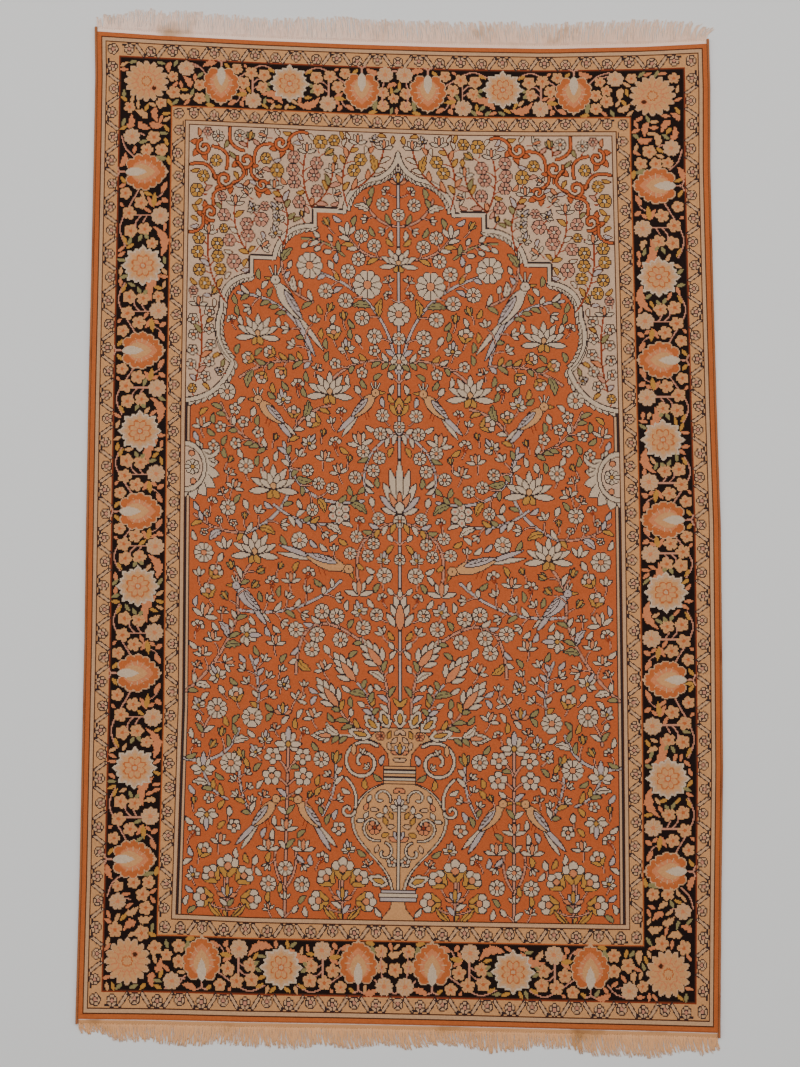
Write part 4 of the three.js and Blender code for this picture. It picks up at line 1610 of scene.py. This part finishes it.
def fringe(name, end, table):
    """The loose threads of one end, tuft by tuft. A few lie askew."""
    share = np.linspace(0, 1, thread_rings)
    around = np.linspace(0, 2 * math.pi, 4, endpoint=False) + math.pi / 4
    rings = []
    for tuft in range(tuft_count):
        middle = (tuft + 0.5) * tuft_pitch - half_width
        reach, lean = read(table, "reach", middle), read(table, "lean", middle)
        count = 6 + int(4 * chance(tuft, 1))
        gather = 0.55 + 0.6 * chance(tuft, 7)
        tuft_reach = reach * (0.9 + 0.14 * chance(tuft, 8))
        for thread in range(count):
            luck = tuft * 11 + thread
            root = (thread - (count - 1) / 2) * tuft_pitch / count
            tip = gather * root + 2.2 * (chance(luck, 2) - 0.5)
            x, y = laid(middle + root, end * half_length)
            length = tuft_reach * (1 - 0.22 * chance(luck, 3) ** 2)
            stray = askew_reach * (chance(luck, 9) - 0.5) if chance(luck, 10) < askew_share else 0
            wave = 0.7 * np.sin(2 * math.pi * (1.2 * share + chance(luck, 4))) * share
            drift = lean + stray + 1.6 * (chance(luck, 5) - 0.5)
            sway = (tip - root) * share**0.8 + drift * share**2 + wave
            radius = thread_radius * (1 - 0.35 * share**3)
            lift = radius * 0.75 + 0.5 * chance(luck, 6) * np.sin(math.pi * np.minimum(share + 0.25, 1))
            out = thread_start + (length - thread_start) * share
            centre = np.stack((x + frame_x + sway, y + frame_y + end * out, lift), 1)
            ring = np.stack((np.cos(around), np.zeros(4), np.sin(around)), 1)
            rings.append(centre[:, None] + radius[:, None, None] * ring)
    return tubes(name, np.array(rings))


for side, end, table in (("far", 1, far_fringe), ("near", -1, near_fringe)):
    piece = fringe(f"{side}_fringe_threads", end, table)
    piece.data.materials.append(warps[side])
    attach(piece, "root")
    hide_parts(f"{side}_fringe")
    edge_pieces.append(piece)

# The woven back.
# The foundation is silk warp and weft, and on its underside each knot shows as a small bead, so the
# whole design is seen again from below. On the real rug it is the cloth that the pile, the sides, the
# woven ends and the fringe belong to. It lies flat on the floor.
back_cell = (3, 2)


def commonest(knots, cell):
    """The chart drawn coarser: each cell takes the silk that most of its knots are tied in."""
    wide, tall = cell
    counts = np.stack([
        (knots == dye).reshape(len(knots) // tall, tall, -1, wide).sum((1, 3)) for dye in dyes.values()
    ])
    return counts.argmax(0).astype(np.uint8)


back_knots = commonest(chart.knots, back_cell)


def floor_height(across, along):
    """The back lies flat on the floor."""
    return np.zeros(np.broadcast(across, along).shape)


woven_back = knotted(
    "woven_back", back_knots, (0, back_knots.shape[1]), (0, back_knots.shape[0]),
    floor_height, foundation_height, back_cell,
)
woven_back.data.materials.append(silk_pile_finish("knotted_back", 0.0004))
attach(woven_back, "root")
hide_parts("pile_body")
pile_pieces + edge_pieces

# The floor, the light and the camera.
# The rug lies on a pale studio floor under large soft lamps, seen from nearly straight above.
# The camera leans from the vertical as the photograph's does.
floor_reach = 30.0
floor_drop = -0.0005
floor_mesh = bpy.data.meshes.new("floor")
floor_corners = [
    (x * floor_reach, y * floor_reach, floor_drop) for x, y in ((-1, -1), (1, -1), (1, 1), (-1, 1))
]
floor_mesh.from_pydata(floor_corners, [], [(0, 1, 2, 3)])
floor = bpy.data.objects.new("floor", floor_mesh)
bpy.context.scene.collection.objects.link(floor)
floor_finish = Finish("floor")
floor_place = floor_finish.node("ShaderNodeTexCoord")["Object"]
floor_finish.feed(floor_finish.shader, {
    "Base Color": (0.78, 0.77, 0.75, 1),
    "Roughness": 0.85 + 0.1 * floor_finish.noise(floor_place, 3.0),
})
floor_mesh.materials.append(floor_finish.material)

for lamp_name, place, size, power in (
    ("overhead_lamp", (0, 1.0, 3.2), 2.6, 66),
    ("left_lamp", (-2.4, 0.2, 2.4), 2.0, 26),
    ("right_lamp", (2.4, 0.6, 2.4), 2.0, 26),
):
    lamp = bpy.data.objects.new(lamp_name, bpy.data.lights.new(lamp_name, "AREA"))
    lamp.data.size = size
    lamp.data.energy = power
    lamp.location = place
    lamp.rotation_euler = (-lamp.location).to_track_quat("-Z", "Y").to_euler()
    bpy.context.scene.collection.objects.link(lamp)
world = bpy.data.worlds.new("studio")
world.use_nodes = True
world.node_tree.nodes["Background"].inputs["Color"].default_value = (1, 1, 1, 1)
world.node_tree.nodes["Background"].inputs["Strength"].default_value = 0.35
bpy.context.scene.world = world

camera_lean = math.radians(4.0)
camera_distance = 2.4
look_height = 0.005
camera_data = bpy.data.cameras.new("camera")
camera_data.lens = 66
camera_data.sensor_width = 36
camera_data.sensor_fit = "VERTICAL"
camera_data.sensor_height = 36
camera = bpy.data.objects.new("camera", camera_data)
camera.location = (
    frame_x * millimetre,
    frame_y * millimetre - camera_distance * math.sin(camera_lean),
    look_height + camera_distance * math.cos(camera_lean),
)
camera.rotation_euler = (camera_lean, 0, 0)
bpy.context.scene.collection.objects.link(camera)
bpy.context.scene.camera = camera

bpy.context.view_layer.update()
